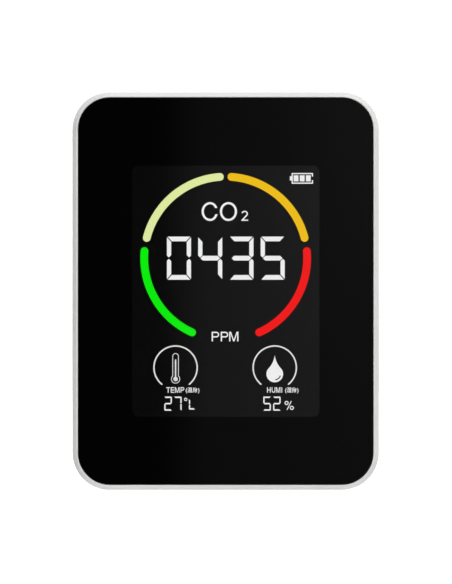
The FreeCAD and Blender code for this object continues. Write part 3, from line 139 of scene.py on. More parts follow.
# circuit board: tracks, in millimetres, the extent of a region of tracks, and the holes' spacing
TRACK_LENGTH, TRACK_PITCH, TRACK_GAP = 7.0, 1.1, 0.12
TRACK_REGION = 16 * MM
HOLE_SPACING = 4.5 * MM

# the battery's tape: its lower edge lies between these depths under the terminal end
TAPE_START, TAPE_END = 5.2 * MM, 5.0 * MM


class Nodes:
    """A node tree, and the few kinds of step that its values go through."""

    def __init__(self, tree):
        self.tree = tree

    def add(self, kind, inputs=None, **settings):
        """A new node with its settings and inputs filled."""
        node = self.tree.nodes.new("ShaderNode" + kind)
        for key, value in settings.items():
            setattr(node, key, value)
        for key, value in (inputs or {}).items():
            self.feed(node, key, value)
        return node

    def feed(self, node, key, value):
        """Links or sets one input."""
        if isinstance(value, bpy.types.NodeSocket):
            self.tree.links.new(value, node.inputs[key])
        else:
            node.inputs[key].default_value = value

    def calc(self, operation, first, second=0.0):
        """One arithmetic step."""
        return self.add("Math", {0: first, 1: second}, operation=operation).outputs[0]

    def ramp(self, value, start, end, low=0.0, high=1.0):
        """value from start to end becomes low to high, smoothly, and stays there outside."""
        inputs = {"Value": value, 1: start, 2: end, 3: low, 4: high}
        return self.add("MapRange", inputs, interpolation_type="SMOOTHSTEP").outputs[0]


class Surface(Nodes):
    """One Principled material and the texture nodes that feed it."""

    def __init__(self, name):
        self.material = bpy.data.materials.new(name)
        self.material.use_nodes = True
        super().__init__(self.material.node_tree)
        self.shader = self.tree.nodes["Principled BSDF"]
        self.place = self.add("TexCoord").outputs["Object"]

    def set(self, **values):
        """Sets the shader's inputs; an underscore stands for a space in their names."""
        for key, value in values.items():
            self.feed(self.shader, key.replace("_", " "), value)

    def noise(self, size, detail=2.0, stretch=(1, 1, 1)):
        """Soft random grain, 0 to 1, with features of about this size."""
        stretched = self.add("Mapping", {"Vector": self.place, "Scale": stretch}).outputs[0]
        inputs = {"Vector": stretched, "Scale": 1 / size, "Detail": detail}
        return self.add("TexNoise", inputs).outputs[0]

    def spread(self, noise, low=0.0, high=1.0):
        """Noise spread from low to high."""
        return self.ramp(noise, NOISE_LOW, NOISE_HIGH, low, high)

    def cells(self, size, randomness=1.0):
        """Distance to the nearest cell centre, in cells."""
        inputs = {"Vector": self.place, "Scale": 1 / size, "Randomness": randomness}
        return self.add("TexVoronoi", inputs, feature="F1").outputs["Distance"]

    def along(self, axis):
        """The coordinate along one axis."""
        return self.add("SeparateXYZ", {0: self.place}).outputs[axis]

    def ribs(self, pitch, axis):
        """A wave from -1 to 1 that repeats along one axis."""
        return self.calc("SINE", self.calc("MULTIPLY", self.along(axis), math.tau / pitch))

    def mix(self, factor, first, second):
        """A colour from first at 0 to second at 1."""
        node = self.add("Mix", {0: factor, 6: first, 7: second}, data_type="RGBA")
        return node.outputs[2]

    def bump(self, height, depth, normal=None):
        """Relief of this depth from a height of 0 to 1."""
        inputs = {"Height": height, "Distance": depth}
        if normal is not None:
            inputs["Normal"] = normal
        return self.add("Bump", inputs).outputs[0]

    def rounded(self, radius):
        """The normal as if every edge had this radius."""
        return self.add("Bevel", {"Radius": radius}, samples=4).outputs[0]

    def edges(self, soft_normal):
        """1 on edges and 0 on flat faces, from a rounded normal."""
        true_normal = self.add("NewGeometry").outputs["Normal"]
        inputs = {0: soft_normal, 1: true_normal}
        facing = self.add("VectorMath", inputs, operation="DOT_PRODUCT").outputs["Value"]
        return self.ramp(facing, EDGE_BEGINS, EDGE_FULL)

    def open_air(self, reach):
        """1 in the open and lower in corners."""
        node = self.add("AmbientOcclusion", {"Distance": reach}, samples=4, only_local=True)
        return node.outputs["AO"]


def moulded(name, colour, low, high, grain=0.16 * MM, relief=0.006 * MM):
    """Moulded plastic: spark-eroded skin, faint flow marks, edges polished by use, and painted shade
    that greys its corners.
    """
    s = Surface(name)
    soft = s.rounded(SOFT_EDGE)
    edge = s.edges(soft)
    flow = s.spread(s.noise(22 * MM, 3.0))
    body = s.mix(flow, colour, shade(colour, 0.965))
    speck = s.ramp(s.noise(0.9 * MM, 4.0), 0.66, 0.8, 0.0, 0.10)
    body = s.mix(speck, body, shade(colour, 0.8))
    # painted shade: the colour greys where ambient occlusion finds a corner
    corner = s.calc("MULTIPLY", s.ramp(s.open_air(CORNER_SHADE_REACH), 0.75, 0.25), 0.35)
    body = s.mix(corner, body, CORNER_SHADE)
    touch = s.ramp(s.noise(9 * MM, 3.0), 0.35, 0.7, low, high)
    worn = s.calc("SUBTRACT", touch, s.calc("MULTIPLY", edge, EDGE_POLISH))
    skin = s.noise(grain, 1.5)
    s.set(Base_Color=body, Roughness=worn, IOR=SHELL_IOR, Normal=s.bump(skin, relief, soft))
    return s.material


def rubber(name, colour):
    """Soft matt rubber with a fine pebbled skin."""
    s = Surface(name)
    pebble = s.cells(0.35 * MM)
    tint = s.mix(s.noise(2 * MM, 3.0), shade(colour, 0.85), shade(colour, 1.1))
    s.set(Base_Color=tint, Roughness=s.spread(s.noise(1.2 * MM), 0.62, 0.8))
    s.set(Normal=s.bump(pebble, 0.03 * MM, s.rounded(RUBBER_EDGE)))
    return s.material


def clear_sheet(name, tint, ior, smear):
    """Polished clear sheet with faint smears and a trace of waviness."""
    s = Surface(name)
    wipe = s.noise(14 * MM, 4.0, (1.0, 1.0, 0.35))
    tinted = s.mix(s.noise(30 * MM), tint, shade(tint, 0.985))
    s.set(Base_Color=tinted, IOR=ior, Transmission_Weight=1.0)
    s.set(Roughness=s.ramp(wipe, 0.45, 0.8, 0.0, smear))
    s.set(Normal=s.bump(s.noise(25 * MM, 1.0), 0.0004 * MM))
    return s.material


def light_guide():
    """Clear acrylic plate with a screen of fine extraction dots."""
    s = Surface("guide_clear")
    dots = s.ramp(s.cells(1.2 * MM, 0.0), 0.34, 0.26)
    s.set(Base_Color=s.mix(dots, CLEAR, FILM_WHITE), IOR=ACRYLIC_IOR, Transmission_Weight=1.0)
    s.set(Roughness=s.ramp(dots, 0.0, 1.0, 0.02, 0.5))
    s.set(Normal=s.bump(dots, 0.01 * MM))
    return s.material


def print_layer(name, colour, rough):
    """Screen-printed black: a slight orange peel and a hint of the screen's mesh."""
    s = Surface(name)
    peel = s.noise(0.6 * MM, 2.0)
    screen = s.calc("MULTIPLY", s.ribs(0.18 * MM, X_AXIS), s.ribs(0.18 * MM, Z_AXIS))
    s.set(Base_Color=s.mix(peel, shade(colour, 0.8), shade(colour, 1.25)))
    s.set(Roughness=s.spread(peel, rough - 0.08, rough + 0.08))
    s.set(Normal=s.bump(s.calc("ADD", peel, s.calc("MULTIPLY", screen, 0.2)), 0.003 * MM))
    return s.material


def polariser(name):
    """Dark polarising film with a glow that grows to the right: partly the backlight's leak, partly
    painted light standing in for the lamplight it would reflect.
    """
    s = Surface(name)
    # painted light: the film's glow grows from left to right
    side = s.ramp(s.along(X_AXIS), PAINTED_GLOW_START, PAINTED_GLOW_END)
    haze = s.noise(0.25 * MM, 2.0)
    s.set(Base_Color=s.mix(s.spread(haze, 0.0, 0.3), POLARISER, shade(POLARISER, 1.3)))
    s.set(Emission_Color=s.mix(side, shade(LEAK_AND_PAINTED_GLOW, PAINTED_GLOW_LEFT), LEAK_AND_PAINTED_GLOW), Emission_Strength=PAINTED_GLOW_LEVEL)
    s.set(Roughness=s.spread(haze, 0.35, 0.5), Specular_IOR_Level=COUPLED)
    s.set(Normal=s.bump(haze, 0.001 * MM))
    return s.material


def lit_segment(name, colour):
    """A lit display segment: even light, with the liquid crystal's fine texture in its own colour."""
    s = Surface(name)
    cell = s.noise(0.12 * MM, 2.0)
    s.set(Base_Color=s.mix(cell, shade(colour, LIT_BASE), shade(colour, LIT_BASE * 1.6)))
    s.set(Roughness=s.spread(cell, 0.45, 0.6), Emission_Color=colour)
    s.set(Emission_Strength=1 / LENS_PASSES, Specular_IOR_Level=COUPLED)
    s.set(Normal=s.bump(cell, 0.001 * MM))
    return s.material


def diffuser():
    """Bright diffusing film with fine prism ribs."""
    s = Surface("diffuser_white")
    prism = s.ribs(0.1 * MM, Z_AXIS)
    s.set(Base_Color=s.mix(s.noise(3 * MM), FILM_WHITE, shade(FILM_WHITE, 0.94)))
    s.set(Roughness=s.spread(s.noise(0.5 * MM), 0.5, 0.65))
    s.set(Normal=s.bump(prism, 0.01 * MM))
    return s.material


def metal(name, colour, rough, stretch=(1, 1, 1)):
    """Metal with its drawing or rolling marks, dulled in patches and brighter on its edges."""
    s = Surface(name)
    soft = s.rounded(FINE_EDGE)
    marks = s.noise(0.3 * MM, 3.0, stretch)
    patch = s.noise(3 * MM, 3.0)
    dull = s.mix(s.ramp(patch, 0.4, 0.7), colour, shade(colour, 0.82))
    s.set(Base_Color=s.mix(s.edges(soft), dull, shade(colour, 1.08)), Metallic=1.0)
    s.set(Roughness=s.ramp(s.calc("ADD", marks, patch), 0.7, 1.3, rough, rough + 0.16))
    s.set(Normal=s.bump(marks, 0.002 * MM, soft))
    return s.material


def circuit(name, mask_colour):
    """Circuit board: masked copper tracks, plated holes and a satin solder mask."""
    s = Surface(name)
    parts = s.add("SeparateXYZ", {0: s.place}).outputs
    flat = s.add("CombineXYZ", {0: parts[X_AXIS], 1: parts[Z_AXIS]}).outputs[0]
    turned = s.add("CombineXYZ", {0: parts[Z_AXIS], 1: parts[X_AXIS]}).outputs[0]
    bricks = {"Scale": 1 / MM, "Mortar Size": TRACK_GAP}
    bricks.update({"Brick Width": TRACK_LENGTH, "Row Height": TRACK_PITCH})
    rows = s.add("TexBrick", dict(bricks, Vector=flat)).outputs["Fac"]
    columns = s.add("TexBrick", dict(bricks, Vector=turned)).outputs["Fac"]
    region = s.ramp(s.noise(TRACK_REGION, 0.0), 0.49, 0.51)
    track = s.mix(region, rows, columns)
    hole = s.ramp(s.cells(HOLE_SPACING), 0.11, 0.09)
    green = s.mix(s.noise(12 * MM), mask_colour, shade(mask_colour, 0.8))
    masked = s.mix(track, green, MASKED_COPPER)
    s.set(Base_Color=s.mix(hole, masked, GOLD), Metallic=hole)
    s.set(Roughness=s.spread(s.noise(0.8 * MM), 0.28, 0.42))
    s.set(Normal=s.bump(s.calc("MAXIMUM", track, hole), 0.02 * MM))
    return s.material


def striped(name, film, stripe, pitch, axis, metallic):
    """A film or block with narrow conductors side by side."""
    s = Surface(name)
    line = s.ramp(s.ribs(pitch, axis), -0.1, 0.25)
    body = s.mix(s.noise(2 * MM, 3.0), film, shade(film, 0.85))
    s.set(Base_Color=s.mix(line, body, stripe), Metallic=s.calc("MULTIPLY", line, metallic))
    s.set(Roughness=s.spread(s.noise(0.7 * MM), 0.3, 0.45))
    s.set(Normal=s.bump(line, 0.015 * MM, s.rounded(FINE_EDGE)))
    return s.material


def fired(name, colour, rough, grain=0.08 * MM, fleck=0.2):
    """Epoxy, ceramic or phosphor: a fine matt grain with small flecks."""
    s = Surface(name)
    soft = s.rounded(FINE_EDGE)
    flecks = s.ramp(s.noise(grain * 2, 4.0), 0.55, 0.75, 0.0, fleck)
    body = s.mix(flecks, colour, shade(colour, 1.7))
    s.set(Base_Color=s.mix(s.noise(2.5 * MM), body, shade(colour, 0.85)))
    s.set(Roughness=s.spread(s.noise(0.5 * MM), rough - 0.07, rough + 0.07))
    s.set(Normal=s.bump(s.noise(grain, 2.0), 0.006 * MM, soft))
    return s.material


def foam(name, colour, size):
    """Open-cell foam, with painted shade in its pores and painted light on the walls between them."""
    s = Surface(name)
    pore = s.cells(size)
    # painted shade and light: pores darker, the walls between them lighter
    painted_pore_shade = s.mix(s.ramp(pore, 0.1, 0.6), shade(colour, 0.35), shade(colour, 1.4))
    s.set(Base_Color=painted_pore_shade, Roughness=s.ramp(pore, 0.0, 0.7, 0.98, 0.85))
    s.set(Normal=s.bump(pore, 0.15 * MM))
    return s.material


def woven(name, colour, pitch):
    """Plain woven nylon gauze with dark gaps between its threads."""
    s = Surface(name)
    warp, weft = s.ribs(2 * pitch, X_AXIS), s.ribs(2 * pitch, Z_AXIS)
    thread = s.calc("MAXIMUM", s.calc("ABSOLUTE", warp), s.calc("ABSOLUTE", weft))
    cross = s.calc("MULTIPLY", warp, weft)
    lift = s.calc("ADD", thread, s.calc("MULTIPLY", cross, 0.3))
    gap = s.ramp(thread, 0.72, 0.5)
    s.set(Base_Color=s.mix(gap, s.mix(s.noise(1 * MM), colour, shade(colour, 1.8)), PRINT))
    s.set(Roughness=s.spread(s.noise(0.4 * MM), 0.5, 0.7))
    s.set(Normal=s.bump(lift, 0.08 * MM))
    return s.material


def pouch(top):
    """Foil pouch cell, lightly creased, with a band of polyimide tape round its terminal end."""
    s = Surface("cell_silver")
    tape = s.ramp(s.along(Z_AXIS), top - TAPE_START, top - TAPE_END)
    crease = s.calc("ADD", s.noise(6 * MM, 3.0), s.calc("MULTIPLY", s.noise(0.7 * MM), 0.2))
    foil = s.mix(s.noise(8 * MM, 2.0), POUCH, shade(POUCH, 0.85))
    s.set(Base_Color=s.mix(tape, foil, POLYIMIDE), Metallic=s.ramp(tape, 0.0, 1.0, 0.85, 0.0))
    s.set(Roughness=s.ramp(crease, 0.4, 0.8, 0.3, 0.42), Normal=s.bump(crease, 0.12 * MM))
    return s.material


def silicone(name, colour):
    """Soft insulated wire."""
    s = Surface(name)
    body = s.mix(s.noise(1.5 * MM, 3.0), colour, shade(colour, 0.7))
    s.set(Base_Color=body, Roughness=s.spread(s.noise(0.6 * MM), 0.38, 0.55))
    s.set(Normal=s.bump(s.noise(0.15 * MM), 0.004 * MM))
    return s.material


def finish_nodes(nodes):
    """Gives every CAD node its finish, and returns the white ink that the printed words share."""
    shell = moulded("shell_white", SHELL, 0.33, 0.44)
    shell_back = moulded("shell_white_back", SHELL, 0.38, 0.5, 0.22 * MM, 0.012 * MM)
    white_ink = lit_segment("ink_white", LIT_WHITE)
    grey_ink = lit_segment("ink_white_thin", LIT_GREY)
    board = circuit("circuit_green", SOLDER_MASK)
    chips = fired("chip_black", EPOXY, 0.5)
    ivory = fired("connector_ivory", IVORY, 0.42, 0.15 * MM, 0.05)
    glass = clear_sheet("display_glass", GLASS_TINT, GLASS_IOR, 0.03)
    dark_film = polariser("polariser_dark")
    zinc = metal("screw_zinc", ZINC, 0.28)
    finishes = {
        "front_frame": shell,
        "rear_cover": shell_back,
        "stand": shell_back,
        "power_button": moulded("button_white", BUTTON, 0.28, 0.38, 0.12 * MM, 0.003 * MM),
        "stand_grip": rubber("grip_grey", RUBBER),
        "front_lens": clear_sheet("lens_clear", CLEAR, ACRYLIC_IOR, 0.02),
        "lens_mask": print_layer("print_black", PRINT, 0.5),
        "lens_tape": print_layer("tape_black", TAPE, 0.7),
        "front_polariser": dark_film,
        "rear_polariser": dark_film,
        "lcd_top_glass": glass,
        "lcd_bottom_glass": glass,
        "ring_segment_green": lit_segment("ink_green", LIT_GREEN),
        "ring_segment_lime": lit_segment("ink_lime", LIT_LIME),
        "ring_segment_amber": lit_segment("ink_amber", LIT_AMBER),
        "ring_segment_red": lit_segment("ink_red", LIT_RED),
        "main_digits": white_ink,
        "drop_mark": white_ink,
        "battery_mark": white_ink,
        "temperature_digits": white_ink,
        "humidity_digits": white_ink,
        "unit_marks": white_ink,
        "dial_rings": grey_ink,
        "thermometer_mark": grey_ink,
        "backlight_diffuser": diffuser(),
        "light_guide": light_guide(),
        "backlight_reflector": metal("reflector_silver", SILVER, 0.22, (1, 1, 0.1)),
        "backlight_tray": moulded("tray_white", SHELL, 0.4, 0.52),
        "led_strip": striped("strip_white", FILM_WHITE, COPPER, 2.4 * MM, X_AXIS, 0.8),
        "backlight_leds": fired("lamp_yellow", PHOSPHOR, 0.45, 0.1 * MM, 0.1),
        "display_ribbon": striped("ribbon_amber", POLYIMIDE, COPPER, 0.6 * MM, X_AXIS, 0.6),
        "ribbon_connector": ivory,
        "battery_plug": ivory,
        "power_switch_plunger": ivory,
        "main_board": board,
        "co2_sensor_board": board,
        "climate_sensor": board,
        "board_chips": chips,
        "buzzer": chips,
        "power_switch_body": chips,
        "charge_socket_blade": striped("blade_contacts", EPOXY, GOLD, 0.5 * MM, Z_AXIS, 1.0),
        "co2_sensor_header": striped("header_pins", EPOXY, GOLD, 2.54 * MM, Z_AXIS, 1.0),
        "board_passives": fired("ceramic_tan", CERAMIC, 0.35),
        "co2_sensor_cell": metal("sensor_gold", GOLD, 0.2, (1, 1, 0.2)),
        "co2_sensor_membranes": fired("membrane_white", MEMBRANE, 0.8, 0.2 * MM, 0.05),
        "sensor_seal": foam("foam_black", FOAM, 0.5 * MM),
        "battery_foam": foam("foam_black_fine", FOAM, 0.3 * MM),
        "vent_mesh": woven("mesh_black", NYLON, 0.45 * MM),
        "battery_cell": pouch(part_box("battery_cell")[1].z),
        "battery_lead_red": silicone("lead_red", RED_SILICONE),
        "battery_lead_black": silicone("lead_black", BLACK_SILICONE),
        "charge_socket_shell": metal("socket_steel", NICKEL, 0.24, (0.15, 1, 1)),
        "stand_hinge_pin": metal("pin_steel", STEEL, 0.25, (0.1, 1, 1)),
        "case_screws": zinc,
        "board_screws": zinc,
    }
    for name, node in nodes.items():
        node.data.materials[0] = finishes[name]
    return white_ink


# ---------------------------------------------------------------- letters

# A letter is drawn one cap height tall, from 0 at its foot and its left edge. Angles are in degrees.
ARC_STEPS = 20
ROUND_STEPS = 59
# a round letter's level strokes, as a share of its upright ones
THINNER = 0.92


def arc(centre, radii, start, end, steps=ARC_STEPS):
    """Points along an ellipse between two angles."""
    points = []
    for step in range(steps + 1):
        angle = math.radians(start + (end - start) * step / steps)
        points.append((centre[0] + radii[0] * math.cos(angle), centre[1] + radii[1] * math.sin(angle)))
    return points


def letter_c(stroke, left=0.465, right=0.42):
    """C, fuller on its closed side, with nearly level ends."""
    head_outside, head_inside = 23, 28
    foot_outside, foot_inside = 343, 338
    centre, tall = (left, 0.5), 0.5
    inside = tall - stroke * THINNER
    outer = arc(centre, (right, tall), head_outside, 90) + arc(centre, (left, tall), 90, 270)
    outer += arc(centre, (right, tall), 270, foot_outside)
    inner = arc(centre, (right - stroke, inside), foot_inside, 270)
    inner += arc(centre, (left - stroke, inside), 270, 90)
    inner += arc(centre, (right - stroke, inside), 90, head_inside)
    return [outer + inner]


def letter_o(stroke, half=0.467):
    """O, whose outlines close with one more step like the others."""
    last = 360 * ROUND_STEPS / (ROUND_STEPS + 1)
    outer = arc((half, 0.5), (half, 0.5), 0, last, ROUND_STEPS)
    inner = arc((half, 0.5), (half - stroke, 0.5 - stroke * THINNER), 0, last, ROUND_STEPS)
    return [outer, inner]


def letter_p(stroke, width=0.765, bowl=0.3):
    """P with a round bowl."""
    centre = (width - bowl, 1 - bowl)
    foot = [(stroke, 1 - 2 * bowl), (stroke, 0), (0, 0), (0, 1)]
    hole = [(stroke, 1 - 2 * bowl + stroke), (stroke, 1 - stroke)]
    inside = (bowl - stroke * 0.9, bowl - stroke)
    return [arc(centre, (bowl, bowl), 90, -90) + foot, arc(centre, inside, 90, -90) + hole]


def letter_m(stroke, width=0.951, notch=0.84):
    """M whose middle strokes meet on the base line and leave its legs at the height of a notch."""
    middle, foot, top = width / 2, stroke * 0.5, stroke * 1.4
    left = [(0, 0), (0, 1), (top, 1), (middle, stroke * 1.25)]
    right = [(width - top, 1), (width, 1), (width, 0), (width - stroke, 0)]
    inner = [(width - stroke, notch), (middle + foot, 0), (middle - foot, 0)]
    return [left + right + inner + [(stroke, notch), (stroke, 0)]]


def letter_t(stroke, width=0.793):
    """T."""
    low, high, under = width / 2 - stroke / 2, width / 2 + stroke / 2, 1 - stroke
    head = [(0, under), (0, 1), (width, 1), (width, under)]
    return [head + [(high, under), (high, 0), (low, 0), (low, under)]]


def letter_e(stroke, width=0.754, bar_share=0.93):
    """E with a shorter middle bar."""
    bar_end, bar_low, bar_high = width * bar_share, 0.5 - stroke / 2, 0.5 + stroke / 2
    top = [(0, 0), (0, 1), (width, 1), (width, 1 - stroke), (stroke, 1 - stroke)]
    bar = [(stroke, bar_high), (bar_end, bar_high), (bar_end, bar_low), (stroke, bar_low)]
    return [top + bar + [(stroke, stroke), (width, stroke), (width, 0)]]


def letter_h(stroke, width=0.782):
    """H."""
    low, high, far = 0.5 - stroke / 2, 0.5 + stroke / 2, width - stroke
    left = [(0, 0), (0, 1), (stroke, 1), (stroke, high), (far, high), (far, 1)]
    return [left + [(width, 1), (width, 0), (far, 0), (far, low), (stroke, low), (stroke, 0)]]


def letter_u(stroke, width=0.787):
    """U with a round foot."""
    half = width / 2
    outer = arc((half, half), (half, half), 180, 360)
    inner = arc((half, half), (half - stroke, half - stroke), 360, 180)
    return [[(0, 1)] + outer + [(width, 1), (width - stroke, 1)] + inner + [(stroke, 1)]]


def letter_i(stroke):
    """I."""
    return [[(0, 0), (0, 1), (stroke, 1), (stroke, 0)]]


def figure_two(stroke, width=0.683):
    """The figure 2: an arch from its tip to its slanting back, over a level foot."""
    tip_outside, tip_inside = 168, 165
    back_outside, back_inside = -38, -42
    heel, toe = (0.235, stroke), (0.015, 0.085)
    centre, reach = (width / 2 - 0.005, 0.70), (width / 2 - 0.02, 0.30)
    inside = (reach[0] - stroke, reach[1] - stroke)
    over = arc(centre, reach, tip_outside, back_outside)
    back = arc(centre, inside, back_inside, tip_inside)
    return [over + [heel, (width, stroke), (width, 0), (0, 0), toe] + back]


# letter: (outline, space before it, advance), all in cap heights
LETTERS = {
    "P": (letter_p, 0.108, 0.932),
    "M": (letter_m, 0.04, 1.1),
    "T": (letter_t, 0.033, 0.853),
    "E": (letter_e, 0.110, 0.932),
    "H": (letter_h, 0.112, 1.009),
    "U": (letter_u, 0.110, 1.009),
    "I": (letter_i, 0.130, 0.388),
}


def spelled(word, stroke):
    """The outlines of a word, one cap height tall."""
    outlines, start = [], 0.0
    for character in word:
        outline, before, advance = LETTERS[character]
        for loop in outline(stroke):
            outlines.append([(x + start + before, y) for x, y in loop])
        start += advance
    return outlines


# ---------------------------------------------------------------- printed words

# strokes, in cap heights, and how much the font's characters swell
GAS_STROKE = 0.12
GAS_TWO_STROKE = 0.122
UNIT_STROKE = 0.133
TEMP_STROKE = 0.15
HUMI_STROKE = 0.155
FONT_SWELL = 0.012

# the lines that the words stand on, and how far a dial's middle is from its ring's outer side
GAS_ABOVE_DIGITS = 4.55 * MM
UNIT_BELOW_DIGITS = 18.4 * MM
WORD_BELOW_DIALS = 2.355 * MM
DIAL_REACH = 6.625 * MM

# word: left and right edge, foot and head, from its line's origin, in millimetres
WORD_PLACES = {
    "label_gas_c": (-7.14, -2.4, 0.1, 5.7),
    "label_gas_o": (-1.71, 3.37, 0.1, 5.7),
    "label_gas_2": (4.64, 6.68, 0.15, 3.13),
    "label_unit": (-4.16, 3.8, 0.1, 2.95),
    "label_temp": (-2.77, 2.59, 0.04, 1.66),
    "label_humi": (-2.28, 2.2, 0.04, 1.66),
    "label_temp_han": (3.02, 7.06, -0.18, 1.66),
    "label_humi_han": (3.08, 7.05, -0.18, 1.66),
}
WELD_DISTANCE = 0.002 * MM


def outline_curve(name, outlines):
    """A filled flat curve from closed outlines; an outline inside another is a hole."""
    curve = bpy.data.curves.new(name, "CURVE")
    curve.dimensions = "2D"
    for outline in outlines:
        spline = curve.splines.new("POLY")
        spline.points.add(len(outline) - 1)
        for point, (x, y) in zip(spline.points, outline):
            point.co = (x, y, 0, 1)
        spline.use_cyclic_u = True
    return curve


def text_curve(name, text):
    """A filled flat curve from characters of Blender's own font."""
    curve = bpy.data.curves.new(name, "FONT")
    curve.body = text
    curve.offset = FONT_SWELL
    return curve


def slab_mesh(name, curve):
    """The filled curve as a slab, half of it above z = 0."""
    curve.extrude = 0.5
    curve.fill_mode = "BOTH"
    draft = bpy.data.objects.new(name + "_draft", curve)
    bpy.context.scene.collection.objects.link(draft)
    mesh = bpy.data.meshes.new_from_object(draft)
    bpy.data.objects.remove(draft)
    mesh.name = name
    return mesh


def printed(name, curve, origin, ink):
    """The curve as a thin closed piece in the ink layer, filling its place beside the origin."""
    left, right, foot, head = (edge * MM for edge in WORD_PLACES[name])
    start, end = origin[0] + left, origin[0] + right
    bottom, top = origin[1] + foot, origin[1] + head
    mesh = slab_mesh(name, curve)
    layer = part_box("main_digits")
    low = [min(v.co[i] for v in mesh.vertices) for i in (0, 1)]
    high = [max(v.co[i] for v in mesh.vertices) for i in (0, 1)]
    shape = bmesh.new()
    shape.from_mesh(mesh)
    for vertex in shape.verts:
        across = (vertex.co.x - low[0]) / (high[0] - low[0])
        up = (vertex.co.y - low[1]) / (high[1] - low[1])
        depth = layer[0].y if vertex.co.z > 0 else layer[1].y
        vertex.co = (start + across * (end - start), depth, bottom + up * (top - bottom))
    bmesh.ops.remove_doubles(shape, verts=shape.verts, dist=WELD_DISTANCE)
    bmesh.ops.recalc_face_normals(shape, faces=shape.faces)
    shape.to_mesh(mesh)
    shape.free()
    mesh.materials.clear()
    mesh.materials.append(ink)
    piece = bpy.data.objects.new(name, mesh)
    bpy.context.scene.collection.objects.link(piece)
    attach(piece, "case")


def print_words(ink):
    """The gas, unit and dial words, placed from the digits and the dials."""
    digits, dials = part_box("main_digits"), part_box("dial_rings")
    gas = (0.0, digits[1].z + GAS_ABOVE_DIGITS)
    unit = (0.0, digits[0].z - UNIT_BELOW_DIGITS)
    left = (dials[0].x + DIAL_REACH, dials[0].z - WORD_BELOW_DIALS)
    right = (dials[1].x - DIAL_REACH, dials[0].z - WORD_BELOW_DIALS)

    def letters(name, outlines, origin):
        printed(name, outline_curve(name + "_lines", outlines), origin, ink)

    def characters(name, text, origin):
        printed(name, text_curve(name + "_lines", text), origin, ink)

    letters("label_gas_c", letter_c(GAS_STROKE), gas)
    letters("label_gas_o", letter_o(GAS_STROKE), gas)
    letters("label_gas_2", figure_two(GAS_TWO_STROKE), gas)
    letters("label_unit", spelled("PPM", UNIT_STROKE), unit)
    letters("label_temp", spelled("TEMP", TEMP_STROKE), left)
    letters("label_humi", spelled("HUMI", HUMI_STROKE), right)
    characters("label_temp_han", "(温度)", left)
    characters("label_humi_han", "(湿度)", right)


# ---------------------------------------------------------------- room and lamps

# the room's light: its level, and what it gains towards the right and upwards
ROOM_LEVEL = 0.19
ROOM_RIGHT = 0.04
ROOM_UP = 0.04
BACKDROP = 1.1

# The dark gap behind the camera. Its edges and steps are components of a unit direction, ahead,
# across or up. Its light rises from left to middle, and further right it also rises upwards.
GAP_EDGE, GAP_INSIDE = -0.93, -0.985
VEIL_START, VEIL_END = -0.0139, -0.0019
GAP_LEFT, GAP_MIDDLE = 0.024, 0.100
FAR_START, FAR_END = 0.0, 0.03
RISE_START, RISE_END = -0.03, 0.035
GAP_LOW, GAP_HIGH = 0.02, 0.075

# name: (place, width, height, power in watts)
LAMPS = {
    "key": ((0.95, -0.85, 0.75), 0.7, 0.9, 5.1),
    "fill": ((-1.05, -0.75, 0.45), 0.7, 0.9, 0.8),
    "top": ((0.0, -0.6, 1.12), 1.1, 0.8, 8.9),
    "back_left": ((-0.85, 1.05, 0.38), 0.8, 0.7, 8.6),
    "back_right": ((1.0, 0.95, 0.32), 0.6, 0.6, 5.5),
}
LAMP_TARGET = Vector((0.0, 0.0, 0.06))


def room_light(n):
    """The room's light by direction: soft all round, and dark in the gap behind the camera."""
    across, ahead, up = n.add("SeparateXYZ", {0: n.add("TexCoord").outputs["Generated"]}).outputs
    room = n.calc("ADD", ROOM_LEVEL, n.calc("MULTIPLY", across, ROOM_RIGHT))
    room = n.calc("ADD", room, n.calc("MULTIPLY", up, ROOM_UP))
    veil = n.ramp(across, VEIL_START, VEIL_END, GAP_LEFT, GAP_MIDDLE)
    rise = n.ramp(up, RISE_START, RISE_END, GAP_LOW, GAP_HIGH)
    far = n.calc("MULTIPLY", n.ramp(across, FAR_START, FAR_END), rise)
    gap = n.calc("ADD", veil, far)
    behind_camera = n.ramp(ahead, GAP_EDGE, GAP_INSIDE)
    keep = n.calc("SUBTRACT", 1.0, behind_camera)
    return n.calc("ADD", n.calc("MULTIPLY", room, keep), n.calc("MULTIPLY", gap, behind_camera))


def studio_world():
    """White to the camera, and the soft room to everything else."""
    world = bpy.data.worlds.new("studio")
    world.use_nodes = True
    world.node_tree.nodes.clear()
    n = Nodes(world.node_tree)
    seen = n.add("LightPath").outputs["Is Camera Ray"]
    strength = n.calc("MAXIMUM", room_light(n), n.calc("MULTIPLY", seen, BACKDROP))
    background = n.add("Background", {"Color": (1, 1, 1, 1), "Strength": strength})
    n.add("OutputWorld", {"Surface": background.outputs[0]})
    world.cycles.sampling_method = "NONE"
    bpy.context.scene.world = world


def hang_lamps():
    """Soft boxes aimed at the monitor, hidden from the camera."""
    for name, (place, width, height, power) in LAMPS.items():
        data = bpy.data.lights.new(name, "AREA")
        data.shape = "RECTANGLE"
        data.size, data.size_y, data.energy = width, height, power
        lamp = bpy.data.objects.new(name, data)
        lamp.location = place
        lamp.rotation_euler = (LAMP_TARGET - Vector(place)).to_track_quat("-Z", "Y").to_euler()
        lamp.visible_camera = False
        bpy.context.scene.collection.objects.link(lamp)


# ---------------------------------------------------------------- floor

FLOOR_RADIUS = 1.6
FLOOR_SIDES = 96
FLOOR_CLOUD = 0.5
FLOOR_SEEN = tone(178, 178, 178)
FLOOR_BOUNCE = tone(225, 225, 224)
# the glow that the camera sees: near the monitor, far from it, and the distances between which it rises
FLOOR_GLOW = 0.6
FLOOR_FAR_GLOW = 1.05
FAR_GLOW_START, FAR_GLOW_END = 0.16, 0.42
# sine of the view's angle to the floor: below the first all of it is white, above the second only
# what is far from the monitor
LOW_VIEW, HIGH_VIEW = 0.11, 0.2
# the bounce card before the monitor, and the shares of its width between which its light fades
CARD_GLOW = 0.29
CARD_WIDTH = 0.10
CARD_LENGTH = 0.30
CARD_FADE_START, CARD_FADE_END = 0.3, 0.7


